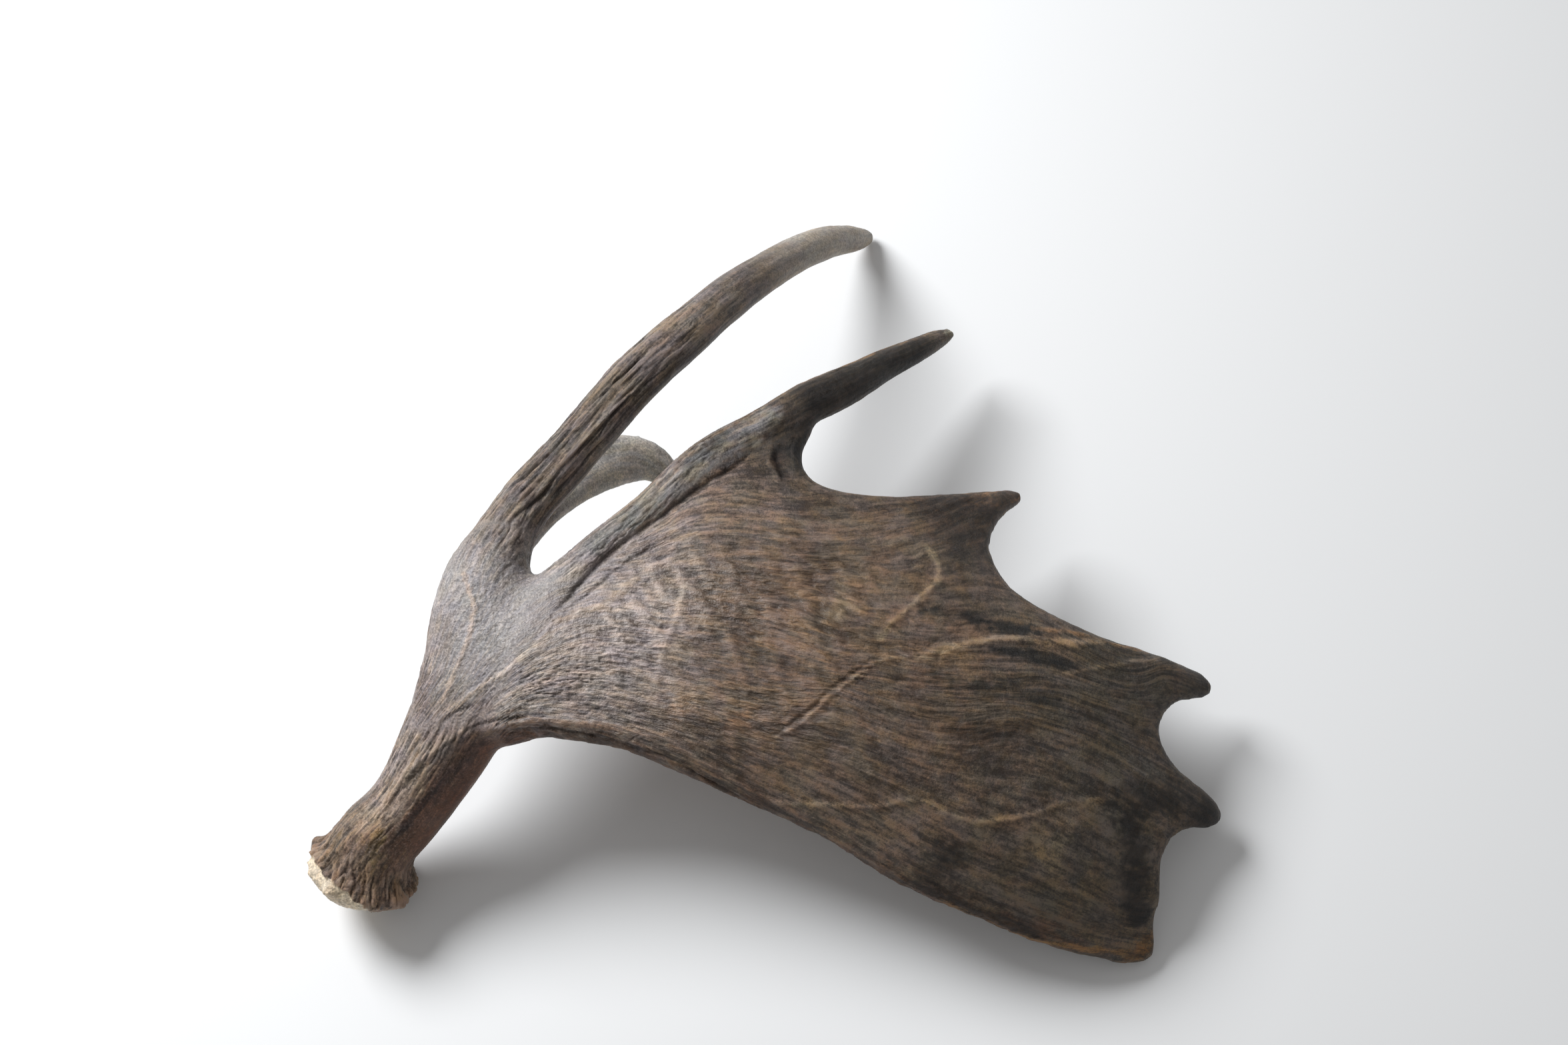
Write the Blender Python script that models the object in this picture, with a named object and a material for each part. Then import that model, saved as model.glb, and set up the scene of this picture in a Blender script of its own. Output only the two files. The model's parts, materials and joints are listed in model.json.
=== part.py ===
"""A shed moose antler, laid down on its hollow side.

The antler grew as one piece: a knobbed burr, a beam, two brow tines and a broad palm whose
edge runs out into five points.  It rests on the burr, on the palm's lowest point and on the
tip of the long brow tine.  The form is lofted and filled here from a few stations, fused into
one skin, grooved, thinned out, and then parted at its main forks.

Tables are in millimetres: X along the palm, Y across it, Z up from the surface it lies on.
"""
import math

import bpy
import numpy as np
from mathutils import Matrix, Vector, geometry

MM = 0.001

# ---- driving dimensions (mm) ----
BURR_CENTRE = (-268.5, -210.5, 25.7)
BURR_AXIS = (0.36, 0.605, 0.712)
EDGE_ROUND = 1.3
SOFTENING_LOSS = 0.8
SKIN_CELL = 1.8
SKIN_SMOOTHING = 7
BLEND_SMOOTHING = 90
TRIANGLES = 9050
FORK_GAP = 0.3

# the way the broad face looks, and so the line along which a limb's depth is measured
FACE = Vector((0.0, -0.42, 0.91)).normalized()

# flare of the burr: distance up the beam from the ring, radius
BURR_PROFILE = [
    (-15.0, 3.0), (-14.2, 12.0), (-12.0, 20.0), (-8.5, 26.5), (-4.0, 30.0), (-2.0, 31.0),
    (-1.0, 34.0), (1.5, 36.2), (4.5, 35.8), (8.0, 32.6), (12.0, 29.8), (17.0, 27.6), (24.0, 26.3)]

# limbs: along, across, height, half the width, half the depth
BEAM = [
    (-239, -176, 51, 25, 24.5), (-217, -149, 72, 28, 26),
    (-201, -120, 86, 32, 26.5), (-193, -92, 96, 32.5, 26.5)]
LONG_BROW_TINE = [
    (-190, -66, 103, 32, 25.5), (-187, -41, 108, 28, 23.5),
    (-178, -17, 114, 19.5, 20), (-164, 5, 121, 17.5, 17.5), (-146, 24, 129, 17, 16),
    (-124, 48, 137, 16.5, 15.5), (-99, 79, 142, 16.7, 15), (-68, 115, 138, 16.3, 14.5),
    (-35, 160, 119, 14.8, 13.5), (-1, 205, 88, 13.2, 12.5), (29, 244, 51, 12.3, 11.5),
    (51, 267, 20, 9.8, 9), (62, 277, 6, 6.5, 6)]
SHORT_BROW_TINE = [
    (-181, -19, 97, 15, 15), (-157, 23, 79, 13.5, 12), (-136, 52, 63, 16.5, 9.5),
    (-112, 73, 47, 18.5, 8.5), (-94, 79, 34, 15.5, 8), (-82, 75, 24, 11.5, 7.5),
    (-74, 68, 15, 8, 6.5), (-70, 63, 10, 5, 5)]
UPPER_PALM_TINE = [
    (-168, -70, 106, 10, 15), (-148, -50, 110, 11.5, 16), (-122, -28, 114, 11.5, 14.5), (-90, 0, 116, 11.2, 13),
    (-48, 44, 114, 11.5, 12.5), (-12, 67, 108, 12.8, 12.5), (19, 91, 98, 15, 12.5),
    (46, 112, 86, 13, 12), (69, 133, 73, 10.9, 10.5), (91, 150, 62, 9.2, 9),
    (107, 164, 53, 7.4, 7.4), (115, 170, 49, 5.6, 5.6)]

# the palm's rim, clockwise from the beam's outer side: along, across, height, half thickness
PALM_RIM = [
    (-210, -42, 101, 21), (-214, -72, 101, 24), (-214, -100, 97, 24), (-204, -122, 91, 22),
    (-190, -142, 87, 20), (-171, -148, 88, 19), (-151, -142, 91, 17), (-125, -145, 93, 14.5),
    (-98, -151, 93, 12.5), (-73, -161, 91, 11), (-48, -171, 87, 9.5), (-24, -181, 83, 8.5),
    (1, -191, 79, 8), (25, -202, 74, 7.5), (48, -215, 68, 7), (71, -227, 62, 7),
    (95, -237, 55, 7), (121, -245, 46, 7), (146, -253, 36, 7.5), (173, -259, 25, 8),
    (197, -262, 15, 8.5), (218, -263, 6, 8.5), (233, -259, 3, 8), (236, -250, 5, 7.5),
    (233, -240, 13, 6.5), (238, -228, 24, 6), (237, -210, 35, 5.5), (242, -195, 38, 5.5),
    (256, -184, 33, 6), (271, -180, 24, 7), (281, -174, 19, 7), (282, -167, 20, 7),
    (274, -158, 27, 7), (263, -152, 35, 6.5), (251, -145, 43, 6), (243, -135, 49, 5.5),
    (240, -123, 53, 5.5), (247, -109, 51, 6), (260, -100, 44, 7), (274, -96, 36, 7.5),
    (281, -89, 34, 7), (277, -83, 37, 7), (266, -78, 45, 7), (252, -75, 52, 6.5),
    (224, -70, 64, 6), (197, -64, 73, 5.5), (171, -54, 80, 5.5), (158, -47, 82, 5.5),
    (147, -39, 84, 5.5), (139, -27, 84, 5.5), (134, -12, 82, 5.5), (138, 6, 76, 6),
    (147, 22, 67, 6.5), (158, 34, 58, 6.5), (162, 41, 54, 6.5), (156, 45, 57, 6.5),
    (139, 40, 66, 6.5), (109, 31, 80, 6.5), (80, 25, 89, 6.5), (52, 23, 95, 6.5),
    (37, 25, 97, 6.5), (23, 28, 99, 7), (14, 36, 100, 7.5), (12, 50, 100, 8.5),
    (22, 70, 99, 10), (0, 80, 104, 12), (-31, 58, 111, 12), (-61, 33, 115, 12),
    (-90, 3, 116, 12), (-119, -24, 114, 13), (-144, -40, 111, 14), (-163, -47, 108, 17),
    (-184, -36, 106, 20), (-200, -32, 104, 20)]

# the palm between its rims
PALM_CROWN = [
    (-192, -87, 99, 25), (-146, -102, 110, 17), (-147, -66, 112, 17), (-97, -104, 116, 11),
    (-98, -57, 116, 10), (-48, -130, 117, 8), (-49, -80, 120, 8), (-50, -20, 118, 8),
    (0, -154, 113, 6.5), (0, -91, 122, 6.5), (0, -15, 118, 6.5), (48, -177, 105, 6),
    (48, -106, 121, 6), (50, -35, 114, 6), (96, -201, 89, 6), (96, -137, 108, 6),
    (98, -76, 110, 6), (101, -17, 98, 6), (145, -220, 67, 6), (145, -161, 87, 6),
    (147, -101, 95, 6), (196, -232, 41, 6), (196, -188, 61, 6), (198, -125, 73, 6)]

# where limbs flow together: centre, reach
BLENDS = [
    ((-165, -92, 105), 66), ((-150, -45, 112), 40), ((-172, -138, 92), 38),
    ((-172, -8, 100), 30), ((18, 72, 100), 22)]

# ridges (+) and furrows (-) along the skin: height, reach to each side, points on the skin
RELIEF = {
    "furrow under the upper rim": (-4.6, 4.2, [
        (-146, -84, 129), (-135, -65, 129), (-125, -50, 127), (-103, -28, 126), (-82, -11, 127),
        (-60, 8, 126), (-35, 30, 123), (-8, 53, 116), (12, 67, 110)]),
    "second furrow": (-2.2, 3.6, [
        (-138, -76, 129), (-131, -68, 129), (-110, -48, 126), (-84, -32, 126), (-59, -14, 126)]),
    "middle vein": (-1.5, 3.0, [
        (-2, -153, 120), (14, -141, 126), (36, -124, 128), (58, -105, 126), (61, -90, 125),
        (73, -75, 122), (91, -54, 115), (102, -38, 109)]),
    "vein to the third point": (-1.4, 3.0, [
        (58, -105, 126), (77, -100, 122), (105, -92, 115), (142, -90, 102), (183, -90, 87)]),
    "lower vein": (-1.1, 3.0, [
        (-19, -179, 97), (29, -186, 101), (57, -191, 102), (90, -188, 103), (119, -195, 94),
        (159, -188, 83), (195, -171, 72)]),
    "ridge of the beam": (2.8, 6.0, [
        (-257, -191, 70), (-240, -171, 81), (-219, -156, 97), (-198, -143, 103),
        (-173, -138, 109), (-144, -137, 110), (-115, -143, 110), (-81, -153, 108),
        (-48, -168, 101)]),
    "outer furrow of the long tine": (-1.8, 3.6, [
        (-191, -32, 131), (-168, -2, 137), (-138, 31, 148), (-112, 61, 155), (-85, 92, 156)]),
    "middle furrow of the long tine": (-2.6, 4.0, [
        (-177, -27, 132), (-153, 0, 134), (-129, 27, 145), (-100, 58, 150), (-70, 97, 152)]),
    "inner furrow of the long tine": (-1.8, 3.6, [
        (-163, -23, 124), (-139, 10, 135), (-114, 39, 145)]),
    "rib of the second point": (1.6, 8.0, [(154, 37, 66), (112, 15, 90), (65, -18, 113)]),
    "rib of the third point": (1.8, 8.0, [(269, -88, 49), (226, -84, 70), (168, -80, 92)]),
    "rib of the fourth point": (1.6, 8.0, [(273, -174, 32), (238, -165, 54), (196, -161, 74)]),
    "rib of the fifth point": (1.4, 9.0, [(224, -258, 16), (195, -242, 42), (159, -224, 67)])}

# thin cuts that part the antler at its forks: centre, direction of growth, width, depth
FORKS = {
    "palm": ((-156, -93, 101), (1.0, 0.03, 0.0), 140, 110),
    "long_brow_tine": ((-156, 16, 125), (0.5, 0.8, 0.3), 52, 46),
    "short_brow_tine": ((-149, 28, 75), (0.55, 0.75, -0.42), 50, 34),
    "upper_palm_tine": ((24, 97, 95), (0.75, 0.57, -0.32), 44, 44)}


def clear_scene():
    for thing in list(bpy.data.objects):
        bpy.data.objects.remove(thing, do_unlink=True)


def smooth_path(rows, spacing, closed=False):
    """Points every `spacing` along a smooth curve through rows, all columns carried along."""
    points = np.array(rows, float)
    if closed:
        points = np.vstack([points[-2:], points, points[:2]])
    else:
        points = np.vstack([2 * points[0] - points[1], points, 2 * points[-1] - points[-2]])
    steps = np.linalg.norm(np.diff(points[:, :3], axis=0), axis=1)
    knots = np.concatenate([[0.0], np.cumsum(steps)])
    slopes = np.diff(points, axis=0) / steps[:, None]
    before = steps[:-1, None]
    after = steps[1:, None]
    tangents = (slopes[:-1] * after + slopes[1:] * before) / (before + after)
    path = []
    last = len(points) - 3 if closed else len(points) - 2
    for i in range(1, last):
        length = knots[i + 1] - knots[i]
        for t in np.linspace(0.0, 1.0, max(2, round(length / spacing)), endpoint=False):
            start, end = points[i], points[i + 1]
            leave, arrive = tangents[i - 1] * length, tangents[i] * length
            path.append((2 * t**3 - 3 * t**2 + 1) * start + (t**3 - 2 * t**2 + t) * leave
                        + (3 * t**2 - 2 * t**3) * end + (t**3 - t**2) * arrive)
    if not closed:
        path.append(points[-2])
    return np.array(path)


def thin_plate(sites, values):
    """The smooth surface that bends least through values given at plan sites."""
    sites = np.asarray(sites, float)
    values = np.asarray(values, float)

    def bend(plan):
        square = ((plan[:, None, :] - sites[None, :, :]) ** 2).sum(axis=2)
        return 0.5 * square * np.log(square + 1e-9)

    count = len(sites)
    plane = np.hstack([np.ones((count, 1)), sites])
    system = np.zeros((count + 3, count + 3))
    system[:count, :count] = bend(sites)
    system[:count, count:] = plane
    system[count:, :count] = plane.T
    weights = np.linalg.solve(system, np.vstack([values, np.zeros((3, values.shape[1]))]))

    def surface(plan):
        plan = np.asarray(plan, float)
        level = np.hstack([np.ones((len(plan), 1)), plan])
        return bend(plan) @ weights[:count] + level @ weights[count:]

    return surface


def new_object(name, verts, faces):
    mesh = bpy.data.meshes.new(name)
    mesh.from_pydata([tuple(v * MM) for v in verts], [], [tuple(f) for f in faces])
    mesh.update()
    thing = bpy.data.objects.new(name, mesh)
    bpy.context.collection.objects.link(thing)
    return thing


def loft(name, rings):
    """A closed skin over rings of points, its ends filled."""
    around = len(rings[0])
    faces = []
    for i in range(len(rings) - 1):
        for j in range(around):
            k = (j + 1) % around
            faces.append((i * around + j, i * around + k, (i + 1) * around + k, (i + 1) * around + j))
    faces.append(tuple(range(around - 1, -1, -1)))
    last = (len(rings) - 1) * around
    faces.append(tuple(range(last, last + around)))
    return new_object(name, np.vstack(rings), faces)


def section(centre, heading, half_width, half_depth, around, lobes=None):
    """An oval across the limb's heading, wide across the face and deep through it."""
    heading = Vector(heading).normalized()
    side = heading.cross(FACE).normalized()
    out = side.cross(heading)
    points = []
    for j in range(around):
        angle = 2 * math.pi * j / around
        swell = lobes(angle) if lobes else 0.0
        across = (half_width + swell) * math.cos(angle)
        through = (half_depth + swell) * math.sin(angle)
        points.append(np.array(centre) + across * np.array(side) + through * np.array(out))
    return np.array(points)


def round_tip(tip, heading, around):
    """Shrinking rings that close a limb's last section with a round end."""
    heading = heading / np.linalg.norm(heading)
    rings = []
    for lean in (30, 55, 75):
        reach = math.sin(math.radians(lean)) * tip[3]
        shrink = math.cos(math.radians(lean))
        rings.append(section(tip[:3] + heading * reach, heading, tip[3] * shrink, tip[4] * shrink, around))
    return rings


def limb(name, stations, around=28):
    """A tapering limb with a round tip."""
    path = smooth_path(stations, 4.0)
    headings = np.gradient(path[:, :3], axis=0)
    rings = [section(p[:3], h, p[3], p[4], around) for p, h in zip(path, headings)]
    return loft(name, rings + round_tip(path[-1], headings[-1], around))


def burr_lobes(rise):
    """Knobs round the burr, running up the beam as flutes that die away."""
    size = 2.6 * math.exp(-((rise - 2.0) / 9.0) ** 2) + 1.3 * math.exp(-max(rise, 0.0) / 26.0)
    if rise < -1.0:
        size *= 0.25

    def lobes(angle):
        return size * (0.6 * math.cos(13 * angle + 0.5) + 0.45 * math.cos(9 * angle + 2.1)
                       + 0.4 * math.cos(21 * angle + 4.0))

    return lobes


def beam(around=84):
    """The burr with its domed seal, the beam, and the long brow tine that carries it on."""
    centre = np.array(BURR_CENTRE)
    axis = np.array(BURR_AXIS) / np.linalg.norm(BURR_AXIS)
    flare_end = BURR_PROFILE[-1][0]
    foot = centre + axis * flare_end
    rows = [(*(centre + axis * rise), radius, radius) for rise, radius in BURR_PROFILE]
    shaft = [(*foot, rows[-1][3], rows[-1][3])] + BEAM + LONG_BROW_TINE
    path = np.vstack([np.array(rows)[:-1], smooth_path(shaft, 4.0)])
    headings = np.gradient(path[:, :3], axis=0)
    headings[:len(rows)] = axis
    rises = [rise for rise, _ in BURR_PROFILE]
    rings = []
    for i, (p, heading) in enumerate(zip(path, headings)):
        rise = rises[i] if i < len(rises) else flare_end + 4.0 * (i - len(rises) + 1)
        rings.append(section(p[:3], heading, p[3], p[4], around, burr_lobes(rise)))
    return loft("beam", rings + round_tip(path[-1], headings[-1], around))


def inside(plan, outline):
    """Which plan points lie inside a closed outline."""
    x, y = plan[:, 0], plan[:, 1]
    hits = np.zeros(len(plan), bool)
    for (ax, ay), (bx, by) in zip(outline, np.roll(outline, -1, axis=0)):
        if ay == by:
            continue
        crosses = (ay > y) != (by > y)
        hits ^= crosses & (x < ax + (y - ay) * (bx - ax) / (by - ay))
    return hits


def rim_distance(plan, outline):
    """Distance of each plan point to a closed outline."""
    nearest = np.full(len(plan), 1e9)
    for a, b in zip(outline, np.roll(outline, -1, axis=0)):
        along = b - a
        t = np.clip(((plan - a) @ along) / (along @ along), 0.0, 1.0)
        nearest = np.minimum(nearest, np.linalg.norm(plan - a - t[:, None] * along, axis=1))
    return nearest


def grown(outline, amount):
    """The outline moved out a little, which the softening of the skin takes back."""
    along = np.roll(outline, -1, axis=0) - np.roll(outline, 1, axis=0)
    along /= np.linalg.norm(along, axis=1)[:, None]
    return outline + amount * np.column_stack([along[:, 1], -along[:, 0]])


def palm():
    """The palm: a bowed plate that thins from the beam outwards, with round rims."""
    outline = grown(smooth_path(PALM_RIM, 4.0, closed=True)[:, :2], SOFTENING_LOSS)
    table = np.array(PALM_RIM + PALM_CROWN, float)
    field = thin_plate(table[:, :2], table[:, 2:])

    low, high = outline.min(axis=0), outline.max(axis=0)
    cell = 4.5
    grid = []
    for row, y in enumerate(np.arange(low[1], high[1], cell * 0.866)):
        for x in np.arange(low[0], high[0], cell):
            grid.append((x + (row % 2) * cell / 2, y))
    grid = np.array(grid)
    grid = grid[inside(grid, outline)]
    grid = grid[rim_distance(grid, outline) > 2.5]

    plan = np.vstack([outline, grid])
    count = len(outline)
    edges = [(i, (i + 1) % count) for i in range(count)]
    coords = [Vector(p) for p in plan]
    plan, _, triangles, *_ = geometry.delaunay_2d_cdt(coords, edges, [], 1, 1e-6)
    plan = np.array([tuple(p) for p in plan])

    level, half = field(plan).T
    step = 0.5
    slope_x = (field(plan + [step, 0])[:, 0] - field(plan - [step, 0])[:, 0]) / (2 * step)
    slope_y = (field(plan + [0, step])[:, 0] - field(plan - [0, step])[:, 0]) / (2 * step)
    up = np.stack([-slope_x, -slope_y, np.ones(len(plan))], axis=1)
    up /= np.linalg.norm(up, axis=1)[:, None]
    depth_in = np.minimum(rim_distance(plan, outline) / (EDGE_ROUND * half), 1.0)
    half = half * np.sqrt(np.maximum(1.0 - (1.0 - depth_in) ** 2, 0.0))
    on_rim = rim_distance(plan, outline) < 1e-3
    half[on_rim] = 0.0

    middle = np.column_stack([plan, level])
    top = middle + up * half[:, None]
    bottom = middle - up * half[:, None]
    under = np.arange(len(plan)) + len(plan)
    under[on_rim] = np.arange(len(plan))[on_rim]
    faces = []
    for a, b, c in triangles:
        (ax, ay), (bx, by), (cx, cy) = plan[a], plan[b], plan[c]
        if (bx - ax) * (cy - ay) - (by - ay) * (cx - ax) < 0:
            b, c = c, b
        faces.append((a, b, c))
        faces.append((under[c], under[b], under[a]))
    return new_object("palm", np.vstack([top, bottom]), faces)


def apply_modifiers(thing):
    graph = bpy.context.evaluated_depsgraph_get()
    mesh = bpy.data.meshes.new_from_object(thing.evaluated_get(graph))
    thing.modifiers.clear()
    thing.data = mesh


def fuse(pieces):
    """One skin over all the pieces, with softened creases where they meet."""
    verts, faces, start = [], [], 0
    for piece in pieces:
        verts.extend(np.array(v.co) / MM for v in piece.data.vertices)
        faces.extend(tuple(start + i for i in p.vertices) for p in piece.data.polygons)
        start = len(verts)
        bpy.data.objects.remove(piece, do_unlink=True)
    antler = new_object("antler", verts, faces)
    skin = antler.modifiers.new("skin", 'REMESH')
    skin.mode = 'VOXEL'
    skin.voxel_size = SKIN_CELL * MM
    apply_modifiers(antler)
    soften(antler)
    return antler


def soften(antler):
    """Ease the whole skin a little, and the places where limbs flow together much more."""
    points = positions(antler.data)
    blend = antler.vertex_groups.new(name="blend")
    near = np.zeros(len(points))
    for centre, reach in BLENDS:
        away = np.linalg.norm(points - np.array(centre), axis=1) / reach
        near = np.maximum(near, np.clip(1.6 - 1.6 * away, 0.0, 1.0))
    for i in np.flatnonzero(near > 0.0):
        blend.add([int(i)], float(near[i]), 'REPLACE')
    for name, iterations, group in (("ease", SKIN_SMOOTHING, ""), ("flow", BLEND_SMOOTHING, "blend")):
        smooth = antler.modifiers.new(name, 'SMOOTH')
        smooth.factor = 0.5
        smooth.iterations = iterations
        smooth.vertex_group = group
    apply_modifiers(antler)


def positions(mesh):
    flat = np.empty(len(mesh.vertices) * 3)
    mesh.vertices.foreach_get("co", flat)
    return flat.reshape(-1, 3) / MM


def put_positions(mesh, points):
    mesh.vertices.foreach_set("co", (points * MM).ravel())
    mesh.update()


def level_on_three_feet(antler):
    """Lean the antler by the little that puts burr, palm point and tine tip on the ground."""
    points = positions(antler.data)
    feet = []
    for foot in (points[:, 0] < -200, points[:, 0] > 200, points[:, 1] > 240):
        part = points[foot]
        feet.append(part[part[:, 2].argmin()])
    feet = np.array(feet)
    plane = np.linalg.solve(np.column_stack([feet[:, :2], np.ones(3)]), feet[:, 2])
    points[:, 2] -= points[:, :2] @ plane[:2] + plane[2]
    put_positions(antler.data, points)


def stroke_weight(points, line, reach):
    """How strongly a soft stroke along a line is felt at each point, fading at its ends."""
    line = smooth_path(line, 6.0)
    ends = np.concatenate([[0.0], np.cumsum(np.linalg.norm(np.diff(line, axis=0), axis=1))])
    nearest = np.full(len(points), 1e9)
    place = np.zeros(len(points))
    for i in range(len(line) - 1):
        along = line[i + 1] - line[i]
        t = np.clip(((points - line[i]) @ along) / (along @ along), 0.0, 1.0)
        away = np.linalg.norm(points - line[i] - t[:, None] * along, axis=1)
        closer = away < nearest
        nearest[closer] = away[closer]
        place[closer] = ends[i] + t[closer] * (ends[i + 1] - ends[i])
    share = place / ends[-1]
    fade = np.clip(np.minimum(share, 1.0 - share) * 5.0, 0.0, 1.0)
    return np.exp(-(nearest / reach) ** 2) * fade


def carve(antler):
    """Raise the ridges and sink the furrows square to the skin."""
    points = positions(antler.data)
    flat = np.empty(len(points) * 3)
    antler.data.vertex_normals.foreach_get("vector", flat)
    rise = np.zeros(len(points))
    for height, reach, line in RELIEF.values():
        rise += height * stroke_weight(points, line, reach)
    put_positions(antler.data, points + rise[:, None] * flat.reshape(-1, 3))


def thin_out(antler):
    """Fewer, larger facets where the skin is plain."""
    triangles = antler.modifiers.new("triangles", 'TRIANGULATE')
    triangles.quad_method = 'SHORTEST_DIAGONAL'
    apply_modifiers(antler)
    thin = antler.modifiers.new("thin", 'DECIMATE')
    thin.ratio = TRIANGLES / len(antler.data.polygons)
    thin.use_collapse_triangulate = True
    apply_modifiers(antler)


def fork_cut(name, centre, heading, width, depth):
    """A thin upright plate across a limb, square to its growth."""
    cutter = new_object("cut_" + name, *plate(width, depth))
    heading = Vector(heading).normalized()
    side = heading.cross(Vector((0, 0, 1))).normalized()
    up = side.cross(heading)
    turn = Matrix((side, heading, up)).transposed().to_4x4()
    cutter.matrix_world = Matrix.Translation(Vector(centre) * MM) @ turn
    cutter.hide_render = True
    cutter.display_type = 'WIRE'
    return cutter


def plate(width, depth):
    half = np.array([width / 2, FORK_GAP / 2, depth / 2])
    corners = [(x, y, z) for x in (-1, 1) for y in (-1, 1) for z in (-1, 1)]
    verts = np.array(corners) * half
    faces = [(0, 1, 3, 2), (4, 6, 7, 5), (0, 4, 5, 1), (2, 3, 7, 6), (0, 2, 6, 4), (1, 5, 7, 3)]
    return verts, faces


def part_at_forks(antler):
    """Cut the antler at its forks and give each limb its own object."""
    for name, fork in FORKS.items():
        cutter = fork_cut(name, *fork)
        cut = antler.modifiers.new(name, 'BOOLEAN')
        cut.operation = 'DIFFERENCE'
        cut.solver = 'EXACT'
        cut.object = cutter
    bpy.context.view_layer.update()
    apply_modifiers(antler)
    for thing in list(bpy.data.objects):
        if thing.name.startswith("cut_"):
            bpy.data.objects.remove(thing, do_unlink=True)

    mesh = antler.data
    points = positions(mesh)
    island = loose_islands(mesh)
    limbs = {}
    for label in np.unique(island):
        chosen = np.flatnonzero(island == label)
        limbs[name_of_island(points[chosen])] = chosen
    made = []
    for name, chosen in limbs.items():
        renumber = -np.ones(len(points), int)
        renumber[chosen] = np.arange(len(chosen))
        faces = [tuple(renumber[list(p.vertices)]) for p in mesh.polygons if island[p.vertices[0]] == island[chosen[0]]]
        made.append(new_object(name, points[chosen], faces))
    bpy.data.objects.remove(antler, do_unlink=True)
    return made


def set_on_origin(pieces):
    """Move all the pieces together until their common box stands on the origin."""
    points = [positions(piece.data) for piece in pieces]
    everything = np.vstack(points)
    low, high = everything.min(axis=0), everything.max(axis=0)
    foot = np.array([(low[0] + high[0]) / 2, (low[1] + high[1]) / 2, low[2]])
    for piece, places in zip(pieces, points):
        put_positions(piece.data, places - foot)


def loose_islands(mesh):
    """A label per vertex, the same for all that hang together."""
    label = np.arange(len(mesh.vertices))
    edges = np.array([tuple(e.vertices) for e in mesh.edges])
    while True:
        low = np.minimum(label[edges[:, 0]], label[edges[:, 1]])
        renewed = label.copy()
        np.minimum.at(renewed, edges[:, 0], low)
        np.minimum.at(renewed, edges[:, 1], low)
        renewed = renewed[renewed]
        if (renewed == label).all():
            return label
        label = renewed


def name_of_island(points):
    """The limb whose cut lies nearest, or the beam, which holds the burr."""
    if points[:, 0].min() < -250:
        return "beam"
    nearest = {name: np.linalg.norm(points - np.array(fork[0]), axis=1).min() for name, fork in FORKS.items()}
    if points[:, 0].max() > 200:
        return "palm"
    del nearest["palm"]
    return min(nearest, key=nearest.get)


def bone(name, colour, roughness):
    material = bpy.data.materials.new(name)
    material.use_nodes = True
    shader = material.node_tree.nodes["Principled BSDF"]
    shader.inputs["Base Color"].default_value = (*colour, 1.0)
    shader.inputs["Roughness"].default_value = roughness
    shader.inputs["Metallic"].default_value = 0.0
    return material


LOOKS = {
    "beam": ((0.17, 0.125, 0.085), 0.5),
    "palm": ((0.12, 0.085, 0.058), 0.5),
    "long_brow_tine": ((0.14, 0.105, 0.075), 0.5),
    "short_brow_tine": ((0.24, 0.22, 0.19), 0.6),
    "upper_palm_tine": ((0.13, 0.09, 0.055), 0.5)}


def main():
    clear_scene()
    limbs = [
        beam(),
        limb("short_brow_tine", SHORT_BROW_TINE),
        limb("upper_palm_tine", UPPER_PALM_TINE),
        palm()]
    antler = fuse(limbs)
    carve(antler)
    level_on_three_feet(antler)
    thin_out(antler)
    pieces = part_at_forks(antler)
    set_on_origin(pieces)
    for piece in pieces:
        colour, roughness = LOOKS[piece.name]
        piece.data.materials.append(bone(piece.name + "_bone", colour, roughness))
        piece.data.shade_smooth()
        piece.data.set_sharp_from_angle(angle=math.radians(50))


main()
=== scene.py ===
"""The look of a shed moose antler, laid on its hollow side.

The limbs of the frame are copied, grown together into one skin and given the bone's own
surface: knobs and flutes at the burr, deep furrows up the brow tine, veins and fine ridges that
fan out over the palm.  The skin is then parted again at the same forks, one piece to a limb.

Tables are in millimetres, in the frame's own axes: X along the palm, Y across it, Z up.
The camera, the light and the floor are in metres.
"""
import json
import math
from contextlib import contextmanager

import bpy
import numpy as np
from mathutils import Euler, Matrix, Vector, noise
from mathutils.bvhtree import BVHTree

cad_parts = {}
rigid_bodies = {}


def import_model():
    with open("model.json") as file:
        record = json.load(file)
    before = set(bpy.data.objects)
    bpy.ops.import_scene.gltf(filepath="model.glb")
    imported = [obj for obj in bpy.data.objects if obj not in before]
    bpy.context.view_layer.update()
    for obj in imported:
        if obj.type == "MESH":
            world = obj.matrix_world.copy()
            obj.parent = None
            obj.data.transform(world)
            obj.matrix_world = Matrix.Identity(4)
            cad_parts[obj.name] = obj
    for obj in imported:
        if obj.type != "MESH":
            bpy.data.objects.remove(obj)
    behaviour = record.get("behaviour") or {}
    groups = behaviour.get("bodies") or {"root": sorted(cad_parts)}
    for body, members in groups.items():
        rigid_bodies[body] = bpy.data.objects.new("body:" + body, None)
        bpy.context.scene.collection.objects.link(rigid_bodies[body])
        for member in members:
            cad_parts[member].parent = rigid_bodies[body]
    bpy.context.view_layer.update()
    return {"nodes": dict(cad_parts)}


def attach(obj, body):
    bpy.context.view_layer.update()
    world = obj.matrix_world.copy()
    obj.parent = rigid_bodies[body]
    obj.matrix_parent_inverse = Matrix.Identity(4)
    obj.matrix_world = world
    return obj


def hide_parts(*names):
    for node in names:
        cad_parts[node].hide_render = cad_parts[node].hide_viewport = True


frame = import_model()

MM = 0.001

# ---- one skin ----
# vertices nearer than DOUBLES are one; the gap of the frame's cuts, and how much further than
# the gap the cut ends are pushed into each other
DOUBLES = 0.02
CUT_GAP = 0.3
CUT_OVERLAP = 0.5
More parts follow.
